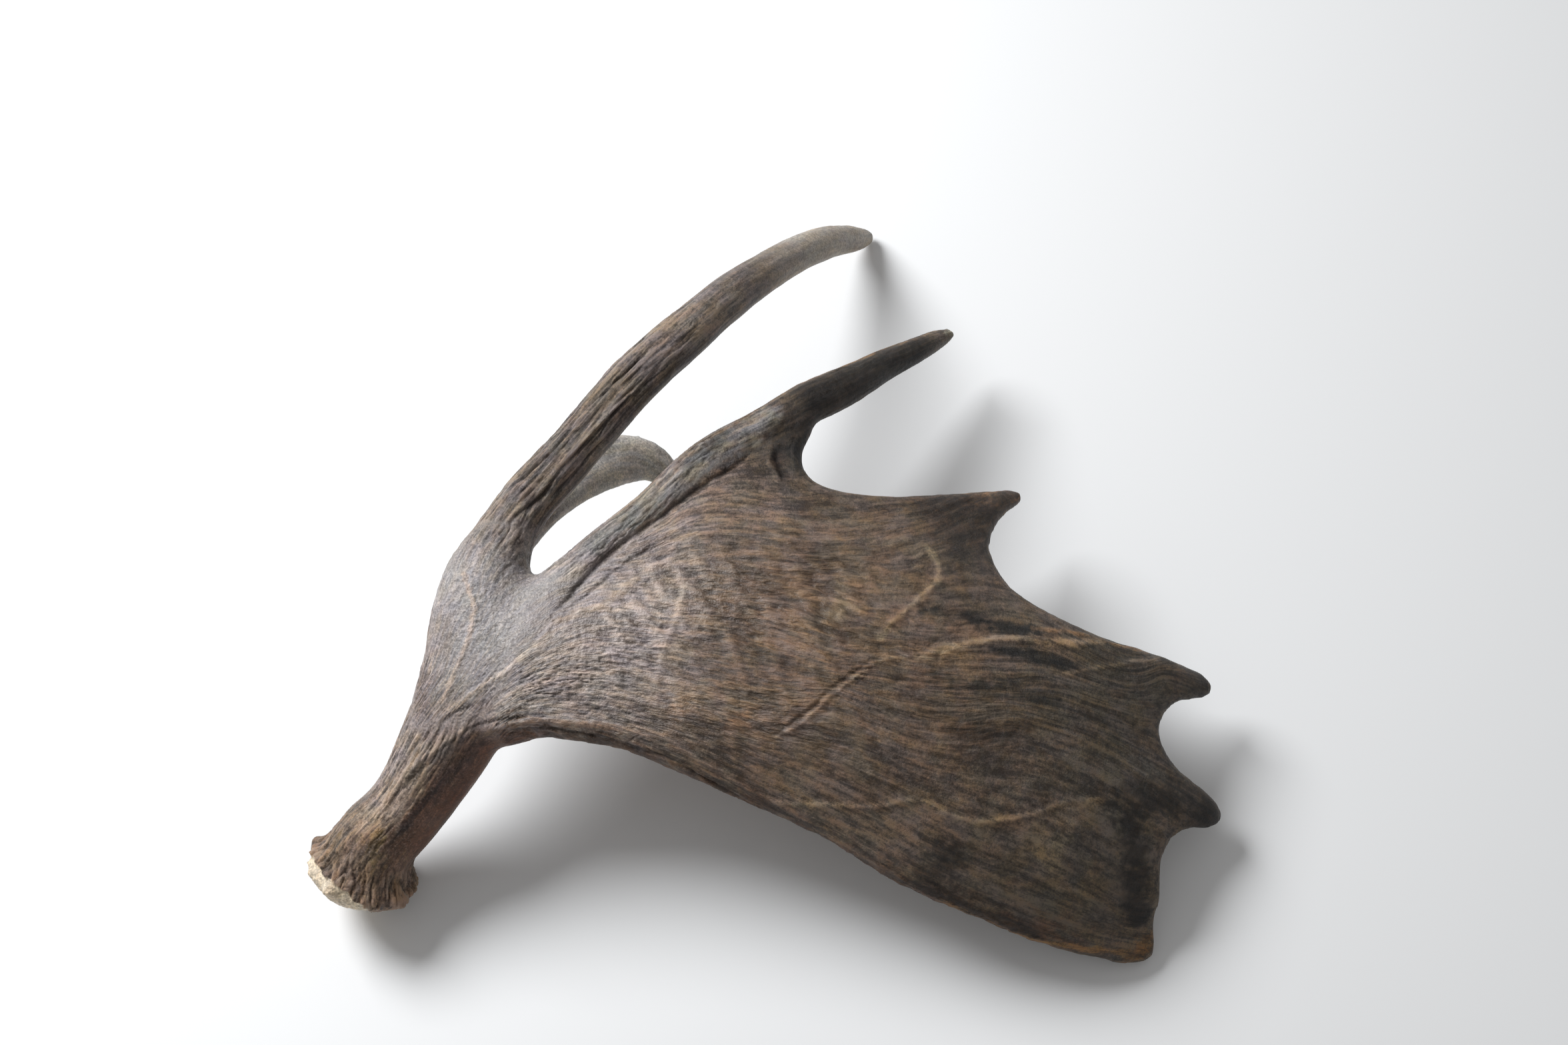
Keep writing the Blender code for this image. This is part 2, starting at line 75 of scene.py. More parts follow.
# the first even skin: its cells, the rounds of smoothing, and the thickness that they cost
COARSE_CELL = 3.0
FACET_ROUNDS = 14
FINE_ROUNDS = 3
SKIN_REGAIN = 0.4
# a face looks down when its normal's height is below this
DOWNWARD = -0.1
# strokes narrower and higher than this have a finer skin, out to so many reaches beside them
FINE_STROKE = 1.55
FINE_RISE = 0.5
FINE_BESIDE = 2.2

# ---- noise and brushes ----
# turned, so that no row of the noise's cells lies along a limb; the noises of two seeds lie a
# shift apart, and the gain brings them to about -1 to 1
NOISE_TURN = np.array(Euler((0.6, 0.8, 0.4)).to_matrix())
NOISE_SHIFT = np.array([7.31, 3.17, 11.9])
NOISE_GAIN = 1.7
# the first seed of the brushes and ridges of each table
SEEDS = {"ridges": 0, "grit": 0, "beads": 20, "even": 30, "pucker": 36, "plain": 40, "snake": 50,
         "tones": 60}
# noises that lie in space: height, length of a swing, seed
FIELDS = {
    "edge of the seal": (1.5, 6.0, 6), "ragged edge of the seal": (0.6, 2.5, 7),
    "fine grit": (0.34, 2.3, 11), "coarse grit": (0.204, 5.0, 12),
    "ridges of the seal": (1.0, 6.0, 13), "grain of the seal": (0.25, 2.4, 14),
    "bumps among the fibres": (0.1, 6.0, 33), "lumps": (0.35, 26.0, 34),
    "small lumps": (0.105, 11.0, 35), "ragged edge of a tone": (0.2, 3.2, 82),
    "uneven stroke": (0.2, 9.0, 100), "sway of a stroke": (0.4, 8.0, 200)}
# noises drawn out along the fibres: height, length, pitch across the fibres, seed
FIBRE_FIELDS = {
    "raised fibres": (0.39, 15.0, 4.2, 31), "fine raised fibres": (0.2, 8.0, 2.8, 32),
    "puckers": (0.8, 13.0, 36.0, 37), "frayed edge of a tone": (0.3, 14.0, 2.4, 81)}
# a brush and a stroke are cut off at this many reaches; a brush's edge wavers by this share, over
# a length that grows with its reach
BRUSH_END = 2.6
STROKE_END = 2.5
BRUSH_WAVER = 0.3
WAVER_LENGTH = 4.0
WAVER_GROWTH = 0.8
# relief with a share below these isn't worked out, FAR is further than any place, and BATCH
# places are spread at a time
FAINT = {"ridges": 0.03, "fibres": 0.02, "grit": 0.05, "burr": 0.02}
FAR = 1e9
BATCH = 20000

# ---- relief ----
# how high a ridge is, and how wide the groove beside it, in swings of the noise
RIDGE_TOP = 0.45
GROOVE_WIDTH = 0.28
# how far a ridge snakes, and the length of a bend, both in pitches
SNAKE = 0.25
SNAKE_LENGTH = 2.6
# the spacing of a stroke's points, and the run over which it rises at each end
STROKE_SPACING = 3.0
STROKE_FADE = 20.0
# where the palm is puckered across its fibres: points, reach
PUCKERED = ([(-60, -90, 128), (30, -100, 128)], 62)

# ---- the burr ----
BURR_CENTRE = np.array([-258.6, -219.9, 25.9])
BURR_AXIS = np.array([0.36, 0.605, 0.712])
BURR_RADIUS = 34.0
BURR_REACH = 60.0
# the plane of the burr's rim, and the plane under which the cream seal lies
RIM_POINT = np.array([-254.5, -239.0, 48.0])
RIM_WAY = np.array([0.43, 0.64, 0.63])
SEAL_POINT = np.array([-254.8, -243.7, 50.1])
SEAL_WAY = np.array([0.66, 0.70, 0.28])
# the seal's edge is soft over SEAL_EDGE, and set back most at SEAL_DEEPEST below its plane
SEAL_EDGE = 1.5
SEAL_STEP = 1.2
SEAL_DEEPEST = 3.0
SEAL_STEP_WIDTH = 4.0
SEAL_RIDGES = 0.5
# the rim swells into knobs, which are highest at RIM_CLIMB above its plane
RIM_HEIGHT = 1.6
RIM_CLIMB = 1.5
RIM_WIDTH = 3.2
KNOB_PITCH = 6.0
KNOB_SHARE = 0.4
KNOB_SEED = 4
# wide and narrow flutes: share of the depth, pitch round the burr, length down it, seed
FLUTE_DEPTH = 1.5
FLUTES = ((1.0, 5.0, 24.0, 3), (0.4, 2.6, 11.0, 5))
# between these heights above the rim the flutes fade away
FLUTES_END = (4.0, 34.0)

# ---- the camera and the room ----
VIEW_TARGET = (0.0099, -0.0094, 0.1032)
VIEW_DISTANCE = 1.4
VIEW_HEIGHT = math.radians(65.0)
VIEW_LENS = 50.0
LIGHT_PLACE = (-1.25, 0.85, 1.4)
LIGHT_TARGET = (0.0, 0.0, 0.05)
LIGHT_SIZE = 1.0
LIGHT_POWER = 54.0
LIGHT_COLOUR = (0.96, 0.98, 1.0)
ROOM_LIGHT = 0.3
FLOOR_SIDE = 8.0
FLOOR_TONE = "#f2f2f2"

# where the frame is parted at its forks: a point of the cut, the way the limb grows from it
FORKS = {
    "palm": ((-146.1, -102.4, 101.2), (1.0, 0.03, 0.0)),
    "long_brow_tine": ((-146.1, 6.6, 125.2), (0.5, 0.8, 0.3)),
    "short_brow_tine": ((-139.1, 18.6, 75.2), (0.55, 0.75, -0.42)),
    "upper_palm_tine": ((33.9, 87.6, 95.2), (0.75, 0.57, -0.32))}
# a cut reaches this far from its point, through the faces in a band to each side of its plane
FORK_REACH = 80.0
FORK_BAND = 6.0
# past its fork, all is palm that lies less than PALM_CUT_HALF across from the fork's point, or to
# the right of TINES_END
PALM_CUT_HALF = 70.0
TINES_END = 20.0
# the middle line that each tine grows round, and how many radii out its skin may lie
TINE_LINES = {"upper_palm_tine": ("upper_palm_tine", 2.2), "long_brow_tine": ("beam", 2.2),
              "short_brow_tine": ("short_brow_tine", 3.0)}

# middle lines of the round limbs: along, across, height, radius
LIMB_LINES = {
    "beam": [
        (-263, -227, 17, 33), (-259, -220, 26, 34), (-253, -211, 36, 29), (-229, -185, 51, 26),
        (-207, -158, 72, 27), (-191, -129, 86, 29), (-183, -101, 96, 30), (-180, -75, 103, 29),
        (-177, -50, 108, 26), (-168, -26, 114, 20), (-154, -4, 121, 17.5), (-136, 15, 129, 16.5),
        (-114, 39, 137, 16), (-89, 70, 142, 16), (-58, 106, 138, 15.5), (-25, 151, 119, 14),
        (9, 196, 88, 13), (39, 235, 51, 12), (61, 258, 20, 9.5), (72, 268, 6, 6)],
    "short_brow_tine": [
        (-171, -28, 97, 15), (-147, 14, 79, 12.5), (-126, 43, 63, 13), (-102, 64, 47, 13),
        (-84, 70, 34, 12), (-72, 66, 24, 9.5), (-64, 59, 15, 7.5), (-60, 54, 10, 5)],
    "upper_palm_tine": [
        (-158, -79, 106, 12), (-138, -59, 110, 14), (-112, -37, 114, 13), (-80, -9, 116, 12),
        (-38, 35, 114, 12), (-2, 58, 108, 12.6), (29, 82, 98, 13.7), (56, 103, 86, 12.5),
        (79, 124, 73, 10.7), (101, 141, 62, 9), (117, 155, 53, 7.4), (125, 161, 49, 5.6)]}

# where the bone's detail is finest: reach, points
FINE_SPOTS = {
    "burr": (42, [(-262, -226, 22), (-254, -216, 36)]),
    "face of the beam and the forks": (24, [
        (-240, -198, 74), (-215, -165, 96), (-190, -120, 116), (-172, -55, 126)]),
    "furrows of the brow tine": (27, [(-168, -20, 118), (-110, 45, 140), (-70, 95, 142)]),
    "root of the palm": (19, [(-135, -115, 121), (-80, -100, 127)]),
    "upper rim": (8.5, [(-124, -48, 124), (-80, -9, 127), (-38, 35, 120)])}

# ---- the run of the fibres ----
# the way the broad face looks, from which the place on a limb's ring is counted
FACE = np.array([0.0, -0.42, 0.91])
LINE_SPACING = 5.0
# the run along each limb is counted from so far past the one before, so that no two look alike
LIMBS_APART = 700.0
# between these radii from a middle line, the limb's fibres give way to the fan of the palm
LIMB_FADES = (1.1, 1.6)
# both are felt where the limb's share is between these, and the streaks are at their full
# strength where one of the two is ahead by SURE_FROM
BOTH_FELT = (0.2, 0.8)
SURE_FROM = 0.7
# the fibres of two limbs fade out where their middle lines are nearly as near, in radii
LINES_MEET = 0.35
# the face of the forks, whose fibres belong to the fan: reach, points
FORK_FACE = (38.0, [(-196, -122, 114), (-188, -100, 118), (-180, -70, 122), (-172, -45, 124)])
# they take over between these strengths of the brush, and these heights of the skin's normal
FACE_FADES = (0.25, 0.9)
FACE_TURNS = (-0.1, 0.3)
# from one line of the fan to the next, and how loosely the fan keeps to its lines
GRAIN_SPACING = 26.0
FAN_SLACK = 5.0
# shorter fibres where the fan opens: the run from the burr, and the same counted in fibres
FIBRE_COUNT = ((0.0, 0.0), (100.0, 170.0), (180.0, 350.0), (310.0, 570.0), (440.0, 750.0),
               (640.0, 980.0))
# how far the fan's third number moves while the skin turns over by a radian
RIM_TURN = 9.0
# how the fibres fan out over the palm, from its lower rim round to the brow tine
GRAIN_LINES = [
    [(-203, -182), (-160, -152), (-129, -151), (-67, -168), (0, -197), (82, -238), (160, -265),
     (227, -272)],
    [(-206, -179), (-165, -148), (-128, -141), (-62, -154), (34, -186), (130, -224), (226, -250)],
    [(-209, -177), (-170, -144), (-135, -130), (-67, -138), (38, -160), (144, -178), (246, -200)],
    [(-213, -174), (-174, -141), (-138, -119), (-62, -119), (43, -134), (150, -140), (206, -148),
     (283, -176)],
    [(-215, -172), (-179, -137), (-140, -109), (-110, -98), (-62, -101), (43, -121), (151, -124),
     (244, -130)],
    [(-218, -170), (-183, -134), (-145, -101), (-112, -83), (-63, -84), (44, -99), (102, -104),
     (173, -96), (251, -99), (285, -101)],
    [(-221, -167), (-187, -130), (-158, -97), (-130, -75), (-100, -62), (-63, -58), (39, -60),
     (124, -58), (200, -76), (241, -89)],
    [(-224, -165), (-191, -127), (-165, -93), (-142, -70), (-110, -48), (-59, -33), (40, -31),
     (85, -20), (127, 3), (167, 34)],
    [(-226, -163), (-194, -125), (-168, -87), (-142, -60), (-108, -38), (-60, -12), (10, -1),
     (60, 8), (112, 22)],
    [(-228, -162), (-197, -122), (-172, -82), (-145, -52), (-115, -30), (-79, -6), (-20, 42),
     (10, 65), (41, 90), (79, 118), (124, 158)],
    [(-231, -159), (-201, -119), (-180, -80), (-163, -45), (-146, -12), (-120, 20)],
    [(-236, -155), (-208, -113), (-195, -75), (-180, -38), (-160, -5), (-130, 32)],
    [(-242, -150), (-218, -105), (-208, -68), (-193, -32), (-172, 0), (-140, 38)]]

# ridges that run with the fibres: from ridge to ridge, length, height, reach of the patch, points
RIDGES = {
    "deep furrows of the brow tine": (5.2, 80, 1.2, 24, [
        (-168, -20, 122), (-140, 15, 137), (-110, 50, 145), (-80, 88, 146)]),
    "fine furrows of the brow tine": (2.8, 50, 0.6, 26, [
        (-168, -20, 122), (-110, 50, 145), (-60, 110, 142)]),
    "end of the furrows": (6.0, 90, 0.5, 24, [(-60, 110, 142), (-25, 155, 125), (5, 195, 92)]),
    "ridges of the beam": (3.4, 55, 0.9, 24, [
        (-248, -204, 62), (-218, -165, 90), (-212, -130, 98), (-208, -80, 104)]),
    "wrinkles over the lip": (3.2, 18, 0.9, 17, [
        (-165, -132, 117), (-125, -126, 122), (-90, -130, 120)]),
    "lines swung from the beam into the palm": (3.6, 50, 1.0, 14, [
        (-212, -168, 96), (-190, -150, 106), (-160, -141, 114), (-120, -140, 117),
        (-80, -146, 116)]),
    "root of the palm": (4.2, 15, 0.8, 38, [(-95, -105, 126), (-60, -82, 127)]),
    "middle of the palm": (3.8, 30, 0.8, 70, [(-20, -80, 128), (60, -120, 125)]),
    "right of the palm": (7.0, 60, 0.25, 62, [(150, -130, 95), (180, -190, 75)]),
    "silver upper rim": (2.7, 40, 0.9, 12, [
        (-124, -48, 124), (-80, -9, 128), (-38, 35, 122), (-2, 58, 114)]),
    "lower rim": (4.2, 80, 0.7, 15, [
        (-150, -152, 104), (-100, -160, 103), (-40, -186, 92), (60, -230, 70), (180, -268, 36)]),
    "root of the upper tine": (4.5, 70, 0.5, 20, [(20, 78, 104), (80, 124, 76)])}

# where the bone is plain and the ridges fade away: amount, reach, points
PLAIN = {
    "underside of the beam": (0.9, 17, [
        (-232, -214, 48), (-212, -196, 62), (-192, -180, 76), (-172, -168, 88)]),
    "inner side of the brow tine": (0.9, 9, [
        (-140, -8, 120), (-115, 15, 132), (-90, 42, 138), (-62, 80, 142), (-35, 118, 134)])}

# ridges (+) and grooves (-) drawn on the skin: height, reach to each side, points
STROKES = {
    "furrow under the upper rim": (-1.6, 1.5, [
        (-134, -89, 129), (-125, -73, 126), (-115, -58, 123), (-94, -35, 123), (-72, -18, 123),
        (-50, 1, 123), (-25, 20, 119), (-8, 35, 116)]),
    "second furrow": (-1.0, 1.2, [
        (-128, -85, 129), (-119, -76, 127), (-103, -60, 124), (-84, -44, 125), (-64, -33, 125)]),
    "fold at the root of the upper tine": (1.7, 2.0, [
        (8, 47, 113), (1, 38, 115), (0, 28, 116), (4, 19, 116), (6, 7, 117)]),
    "hollow beside the fold": (-1.5, 2.4, [
        (14, 47, 112), (7, 38, 114), (6, 28, 115), (10, 19, 115), (13, 7, 116)]),
    "crest of the main vein": (0.6, 1.4, [
        (-4, -163, 119), (9, -160, 122), (27, -148, 126),
        (40, -136, 127), (53, -125, 127), (71, -112, 124), (85, -109, 122), (102, -106, 117),
        (125, -106, 112)]),
    "groove beside the main vein": (-0.8, 1.4, [
        (-1, -160, 120), (7, -158, 122), (25, -146, 126), (38, -134, 127), (51, -123, 127),
        (69, -110, 125)]),
    "main vein, on to the third point": (1.1, 2.8, [
        (91, -109, 120), (111, -101, 115), (132, -95, 109), (148, -89, 103), (174, -87, 93),
        (187, -87, 89), (212, -83, 80)]),
    "branch of the main vein": (1.0, 2.2, [
        (69, -107, 124), (69, -98, 124), (78, -86, 122), (92, -71, 118), (107, -53, 111),
        (107, -41, 110), (100, -29, 108)]),
    "lower vein": (1.0, 2.0, [
        (-10, -194, 95), (17, -197, 98), (40, -197, 100), (63, -199, 102), (94, -196, 104),
        (109, -203, 99), (128, -206, 93), (149, -203, 88), (166, -197, 84), (182, -190, 80),
        (208, -185, 71), (224, -184, 63)]),
    "groove along the lower rim": (-0.5, 1.4, [
        (88, -233, 78), (102, -239, 72), (115, -245, 66), (137, -247, 63), (150, -253, 55),
        (163, -260, 47), (182, -264, 40), (208, -267, 29)]),
    "lip of the lower rim": (1.1, 1.8, [
        (-181, -155, 102), (-169, -151, 108), (-150, -148, 112), (-127, -148, 113),
        (-104, -151, 114), (-81, -156, 113), (-62, -159, 112), (-38, -173, 105), (-9, -187, 98),
        (20, -202, 90)]),
    "groove under the lip": (-1.2, 1.5, [
        (-165, -156, 106), (-150, -153, 108), (-127, -153, 108), (-104, -157, 108),
        (-81, -162, 106), (-62, -166, 104), (-38, -180, 97), (-9, -194, 89)]),
    "ridge of the beam": (0.9, 2.2, [
        (-247, -200, 70), (-230, -180, 81), (-209, -165, 97), (-192, -154, 102),
        (-172, -149, 109)]),
    "upper groove of the beam": (-0.6, 1.0, [
        (-232, -170, 84), (-223, -164, 93), (-211, -154, 102), (-202, -148, 106),
        (-189, -140, 110), (-172, -136, 115)]),
    "lower groove of the beam": (-0.8, 1.1, [
        (-237, -188, 75), (-225, -182, 85), (-212, -172, 96), (-201, -163, 102),
        (-191, -156, 105), (-176, -149, 109), (-161, -147, 113), (-147, -147, 114)]),
    "vein from the beam to the palm": (0.6, 1.5, [
        (-116, -83, 129), (-133, -91, 129), (-142, -104, 128), (-157, -116, 124),
        (-169, -124, 120), (-183, -131, 114), (-196, -140, 110), (-210, -154, 102)]),
    "vein from the beam to the brow tine": (0.6, 1.5, [
        (-189, -57, 129), (-185, -69, 129), (-182, -79, 128), (-185, -99, 124),
        (-192, -115, 119), (-197, -128, 114), (-205, -140, 108)]),
    "net at the root of the palm": (0.9, 2.0, [
        (-130, -89, 129), (-115, -82, 129), (-104, -79, 128), (-88, -64, 126), (-77, -55, 126),
        (-63, -48, 126), (-58, -52, 126), (-53, -67, 127), (-58, -91, 128), (-65, -111, 128),
        (-68, -127, 125), (-54, -144, 121), (-61, -156, 114)]),
    "pucker in the middle of the palm": (0.3, 1.5, [
        (4, -60, 128), (-1, -86, 128), (0, -106, 129), (-3, -120, 130), (2, -138, 127)]),
    "outer furrow of the brow tine": (-1.5, 1.0, [
        (-169, -4, 132), (-155, 5, 139), (-142, 16, 144), (-130, 28, 148), (-119, 44, 152),
        (-110, 53, 154), (-101, 61, 156), (-86, 77, 157), (-71, 96, 155)]),
    "middle furrow of the brow tine": (-1.8, 1.1, [
        (-163, -31, 132), (-161, -22, 134), (-153, -15, 135), (-142, -5, 135), (-135, 4, 139),
        (-121, 20, 145), (-111, 30, 148), (-99, 44, 151), (-85, 59, 151), (-65, 84, 153)]),
    "inner furrow of the brow tine": (-1.3, 1.0, [
        (-143, -11, 130), (-133, -1, 133), (-122, 10, 136), (-112, 22, 141), (-102, 30, 144),
        (-90, 46, 146)]),
    "crest of the brow tine": (0.9, 1.1, [
        (-159, -25, 132), (-144, -10, 132), (-130, 9, 142), (-120, 22, 146), (-110, 34, 150),
        (-101, 42, 152), (-89, 56, 153), (-76, 68, 150)]),
    "first line on the third point": (0.6, 2.0, [
        (136, -94, 108), (149, -90, 103), (168, -88, 96), (187, -87, 89), (212, -83, 80)]),
    "second line on the third point": (0.6, 2.0, [
        (167, -80, 95), (184, -78, 88), (201, -79, 82), (222, -83, 75), (244, -84, 65)]),
    "third line on the third point": (0.6, 2.2, [
        (181, -110, 92), (199, -104, 85), (216, -99, 79), (232, -94, 74), (249, -90, 66),
        (260, -91, 61)]),
    "crease that leads to the main vein": (-0.5, 1.0, [
        (-84, -140, 118), (-60, -150, 117), (-40, -155, 117), (-22, -156, 118), (-4, -158, 120)]),
    "fold under the third point": (-0.8, 3.0, [
        (135, -116, 108), (151, -117, 103), (167, -116, 98), (177, -112, 94)]),
    "groove on the second point": (-0.9, 2.2, [
        (86, -8, 105), (103, -2, 100), (123, 9, 91), (146, 22, 78)]),
    "short groove above it": (-0.8, 2.0, [(40, -5, 112), (49, -3, 109), (64, 3, 104)])}

# colours laid on in turn, painted shade, painted light and painted sheen among them: colour, reach,
# points
BASE_TONE = "#61554a"
TONES = {
    # the grey of the forks is partly the bone's grey patina and partly painted sheen
    "grey of the forks, partly painted sheen": ("#9d9a9b", 62, [
        (-190, -60, 118), (-188, -100, 118), (-160, -85, 126), (-125, -70, 128)]),
    "warm grey at the root of the palm": ("#938986", 55, [
        (-110, -110, 127), (-75, -85, 128), (-65, -40, 126)]),
    "brown of the palm": ("#605247", 70, [(-10, -60, 127), (20, -120, 128), (80, -110, 122)]),
    # darker towards the right: partly the bone's own brown and partly painted shade, where less
    # light falls
    "darker towards the right, partly painted shade": ("#4b443b", 62, [
        (225, -95, 75), (215, -150, 70), (215, -215, 50), (170, -250, 45)]),
    "dark second point": ("#3a2f26", 40, [(120, 0, 90), (150, 28, 68)]),
    # painted shade in the bay under the upper tine
    "painted shade in the bay under the upper tine": ("#36312d", 26, [(12, 40, 112), (30, 40, 104)]),
    # painted shade in the hollow beside the fold
    "painted shade in the hollow beside the fold": ("#38302b", 4, STROKES["hollow beside the fold"][2][:-1]),
    "dark bands into the third point": ("#2a2826", 6, [
        (99, -76, 112), (135, -80, 104), (170, -83, 95)]),
    "dark band under them": ("#292623", 5, [
        (135, -97, 104), (170, -100, 95), (193, -102, 87)]),
    "tan between the bands": ("#6d5c4a", 3, [
        (74, -103, 123), (111, -104, 114), (131, -106, 107)]),
    "second tan line": ("#75604a", 1.5, STROKES["second line on the third point"][2]),
    "third tan line": ("#6a6053", 1.5, STROKES["third line on the third point"][2][:-1]),
    "dark band below the third point": ("#36312b", 6, [(100, -122, 114), (178, -126, 92)]),
    "dark band low in the middle": ("#40352b", 6, [(112, -156, 109), (160, -146, 99)]),
    "dark patch over the lower rim": ("#3b3229", 12, [(112, -225, 85), (98, -236, 75)]),
    # painted shade on the edge between the last points, where it turns away from the light
    "painted shade on the edge between the last points": ("#241f1a", 11, [
        (226, -196, 62), (231, -216, 51), (229, -233, 44), (231, -249, 30)]),
    "dark root of the fourth point": ("#2a2520", 14, [(235, -178, 62), (255, -180, 52)]),
    # painted sheen: grey glints in the bay
    "grey painted sheen in the bay": ("#544f4b", 9, [(231, -158, 65), (245, -156, 58)]),
    "tan blotches at the lower right": ("#665b4c", 10, [(183, -203, 77), (172, -222, 72)]),
    "more tan blotches": ("#554b3e", 9, [(200, -229, 59), (190, -246, 52)]),
    "ochre in the middle": ("#716150", 7, [(56, -78, 126), (51, -64, 125), (42, -85, 128)]),
    "rusty low in the middle": ("#7a6350", 5, [(-22, -154, 121), (-14, -150, 122)]),
    "rusty by the lip": ("#7d6a5b", 5, [(-56, -144, 122), (-50, -138, 124)]),
    "dark lower rim": ("#503f33", 16, [
        (-150, -158, 98), (-100, -163, 98), (-50, -182, 88), (0, -204, 80), (60, -232, 68),
        (120, -256, 54), (180, -272, 32)]),
    # painted shade on the beam's lower side, which faces away from the light
    "painted shade on the side of the beam": ("#5e3d2b", 24, [
        (-228, -212, 50), (-210, -195, 62), (-190, -178, 78), (-170, -166, 90)]),
    "straw on the beam": ("#9a8875", 11, [
        (-250, -200, 66), (-232, -188, 78), (-214, -172, 94)]),
    "shade under the ridge of the beam": ("#33211a", 3.6, [
        (-236, -210, 60), (-222, -198, 72), (-207, -185, 83), (-191, -171, 92),
        (-176, -160, 98)]),
    "tan on the back of the beam": ("#857a76", 20, [
        (-240, -170, 72), (-222, -145, 88), (-213, -115, 98), (-210, -85, 104)]),
    "moss grey at the burr": ("#7f6944", 11, [(-250, -208, 58), (-244, -214, 52)]),
    "brown burr": ("#77675a", 22, [
        (-277, -216, 50), (-266, -230, 52), (-250, -240, 48), (-232, -236, 36), (-226, -222, 24)]),
    "brow tine": ("#706863", 34, [
        (-176, -20, 118), (-150, 5, 128), (-110, 45, 142), (-70, 95, 145), (-30, 145, 128)]),
    # painted shade on the inner side of the brow tine, the side turned from the light
    "painted shade on the inner side of the brow tine": ("#6d645e", 12, [
        (-140, -8, 120), (-115, 15, 132), (-90, 42, 138), (-62, 80, 142), (-35, 118, 134),
        (-5, 160, 112)]),
    "pale end of the brow tine": ("#9c948b", 40, [(20, 215, 80), (50, 250, 40), (72, 268, 8)]),
    # the short tine is painted paler than its bone: painted light that makes up for the long tine's
    # shadow over it
    "short tine": ("#b6b3ad", 30, [
        (-140, 24, 76), (-120, 50, 58), (-95, 68, 42), (-72, 66, 24), (-60, 54, 10)]),
    # the silver of the upper rim is partly the bone's grey and partly painted sheen
    "silver upper rim": ("#777573", 8.6, [
        (-112, -35, 128), (-79, -9, 129), (-50, 18, 127), (-20, 43, 121), (0, 60, 117)]),
    # the upper tine is partly its own dark brown and partly painted shade on its underside
    "upper tine, dark brown with painted shade": ("#1f1b18", 20, [
        (30, 78, 108), (55, 98, 96), (78, 116, 80), (100, 134, 66)]),
    "tan edge of the upper tine": ("#75604a", 5, [
        (-20, 60, 116), (22, 94, 104), (50, 114, 92), (75, 134, 78), (98, 151, 66),
        (114, 163, 56)]),
    "pale tip of the upper tine": ("#979486", 10, [(128, 165, 48)]),
    # painted shade in the groove of the lower rim
    "painted shade in the groove of the lower rim": ("#30251b", 4.2, [
        (104, -240, 69), (125, -250, 58), (150, -258, 50), (165, -262, 45)]),
    # the tan line on the lower rim's edge is partly tan bone and partly a painted highlight
    "tan line of the lower rim, partly painted highlight": ("#6b5436", 2.6, [
        (108, -247, 62), (132, -257, 50), (162, -266, 40), (196, -269, 31), (226, -268, 20)]),
    "tan second tip": ("#6a5441", 14, [(140, 28, 72), (163, 38, 62)]),
    "dark end of the second tip": ("#3a2c22", 6, [(177, 43, 55)]),
    "dark third tip": ("#3f3a35", 20, [(280, -100, 45)]),
    "dark fourth tip": ("#251f1a", 20, [(282, -183, 33)]),
    "ochre fifth tip": ("#634a2c", 8, [(238, -262, 16), (232, -268, 14)]),
    "rust on the net": ("#867a71", 2.6, [
        (-130, -89, 129), (-115, -82, 129), (-104, -79, 128), (-88, -64, 126), (-77, -55, 126),
        (-53, -67, 127), (-58, -91, 128)]),
    "straw on the branch vein": ("#796b59", 2.2, [
        (69, -98, 124), (78, -86, 122), (92, -71, 118), (107, -53, 111), (107, -41, 110),
        (100, -29, 108)]),
    "straw on the main vein": ("#7c6f63", 1.4, [
        (5, -161, 121), (27, -148, 126), (53, -125, 127), (71, -112, 124), (85, -109, 122)]),
    "tan of the vein to the third point": ("#7d6e5d", 2.6, [
        (91, -109, 120), (111, -101, 115), (148, -89, 103), (187, -87, 89), (212, -83, 80)]),
    "straw on the lower vein": ("#6f6252", 2.4, [
        (0, -196, 96), (40, -197, 100), (94, -196, 104), (128, -206, 93), (166, -197, 84),
        (208, -185, 71)]),
    "tan lip of the lower rim": ("#6f5d50", 2.4, [
        (-181, -155, 102), (-150, -148, 112), (-104, -151, 114), (-62, -159, 112),
        (-38, -173, 105), (-9, -187, 98)]),
    "veins on the fork": ("#a59a92", 1.8, [
        (-116, -83, 129), (-142, -104, 128), (-169, -124, 120), (-196, -140, 110)]),
    "vein to the brow tine": ("#a4978f", 1.8, [
        (-189, -57, 129), (-182, -79, 128), (-185, -99, 124), (-197, -128, 114),
        (-205, -140, 108)])}
SEAL_TONE = "#cdbfa8"
# smaller patches than this have frayed edges, which fade between these strengths of the brush
# with the fray and without it
FRAYED_REACH = 20.0
FRAY_FADES = (0.1, 0.9)
FRAY_ENDS = (0.02, 0.25)

# where the skin is beaded with short raised fibres, from 0 to 1: amount, reach, points
BASE_BEADS = 0.1
BEADED = {
    "left and middle of the palm": (1.0, 62, [(-110, -100, 125), (-40, -75, 127), (30, -75, 125)]),
    "low on the palm": (0.9, 40, [(-70, -138, 120), (20, -150, 118)]),
    "right of the middle": (0.6, 52, [(90, -60, 110), (100, -140, 108)]),
    "forks": (0.25, 36, [(-185, -60, 120), (-188, -105, 118), (-150, -88, 127)]),
    "beam": (0.25, 24, [(-248, -204, 62), (-218, -165, 90), (-205, -120, 105)]),
    "upper rim": (0.5, 13, [(-112, -37, 124), (-80, -9, 128), (-38, 35, 122)]),
    "foot of the brow tine": (0.25, 26, [(-165, -20, 122), (-110, 50, 145)])}

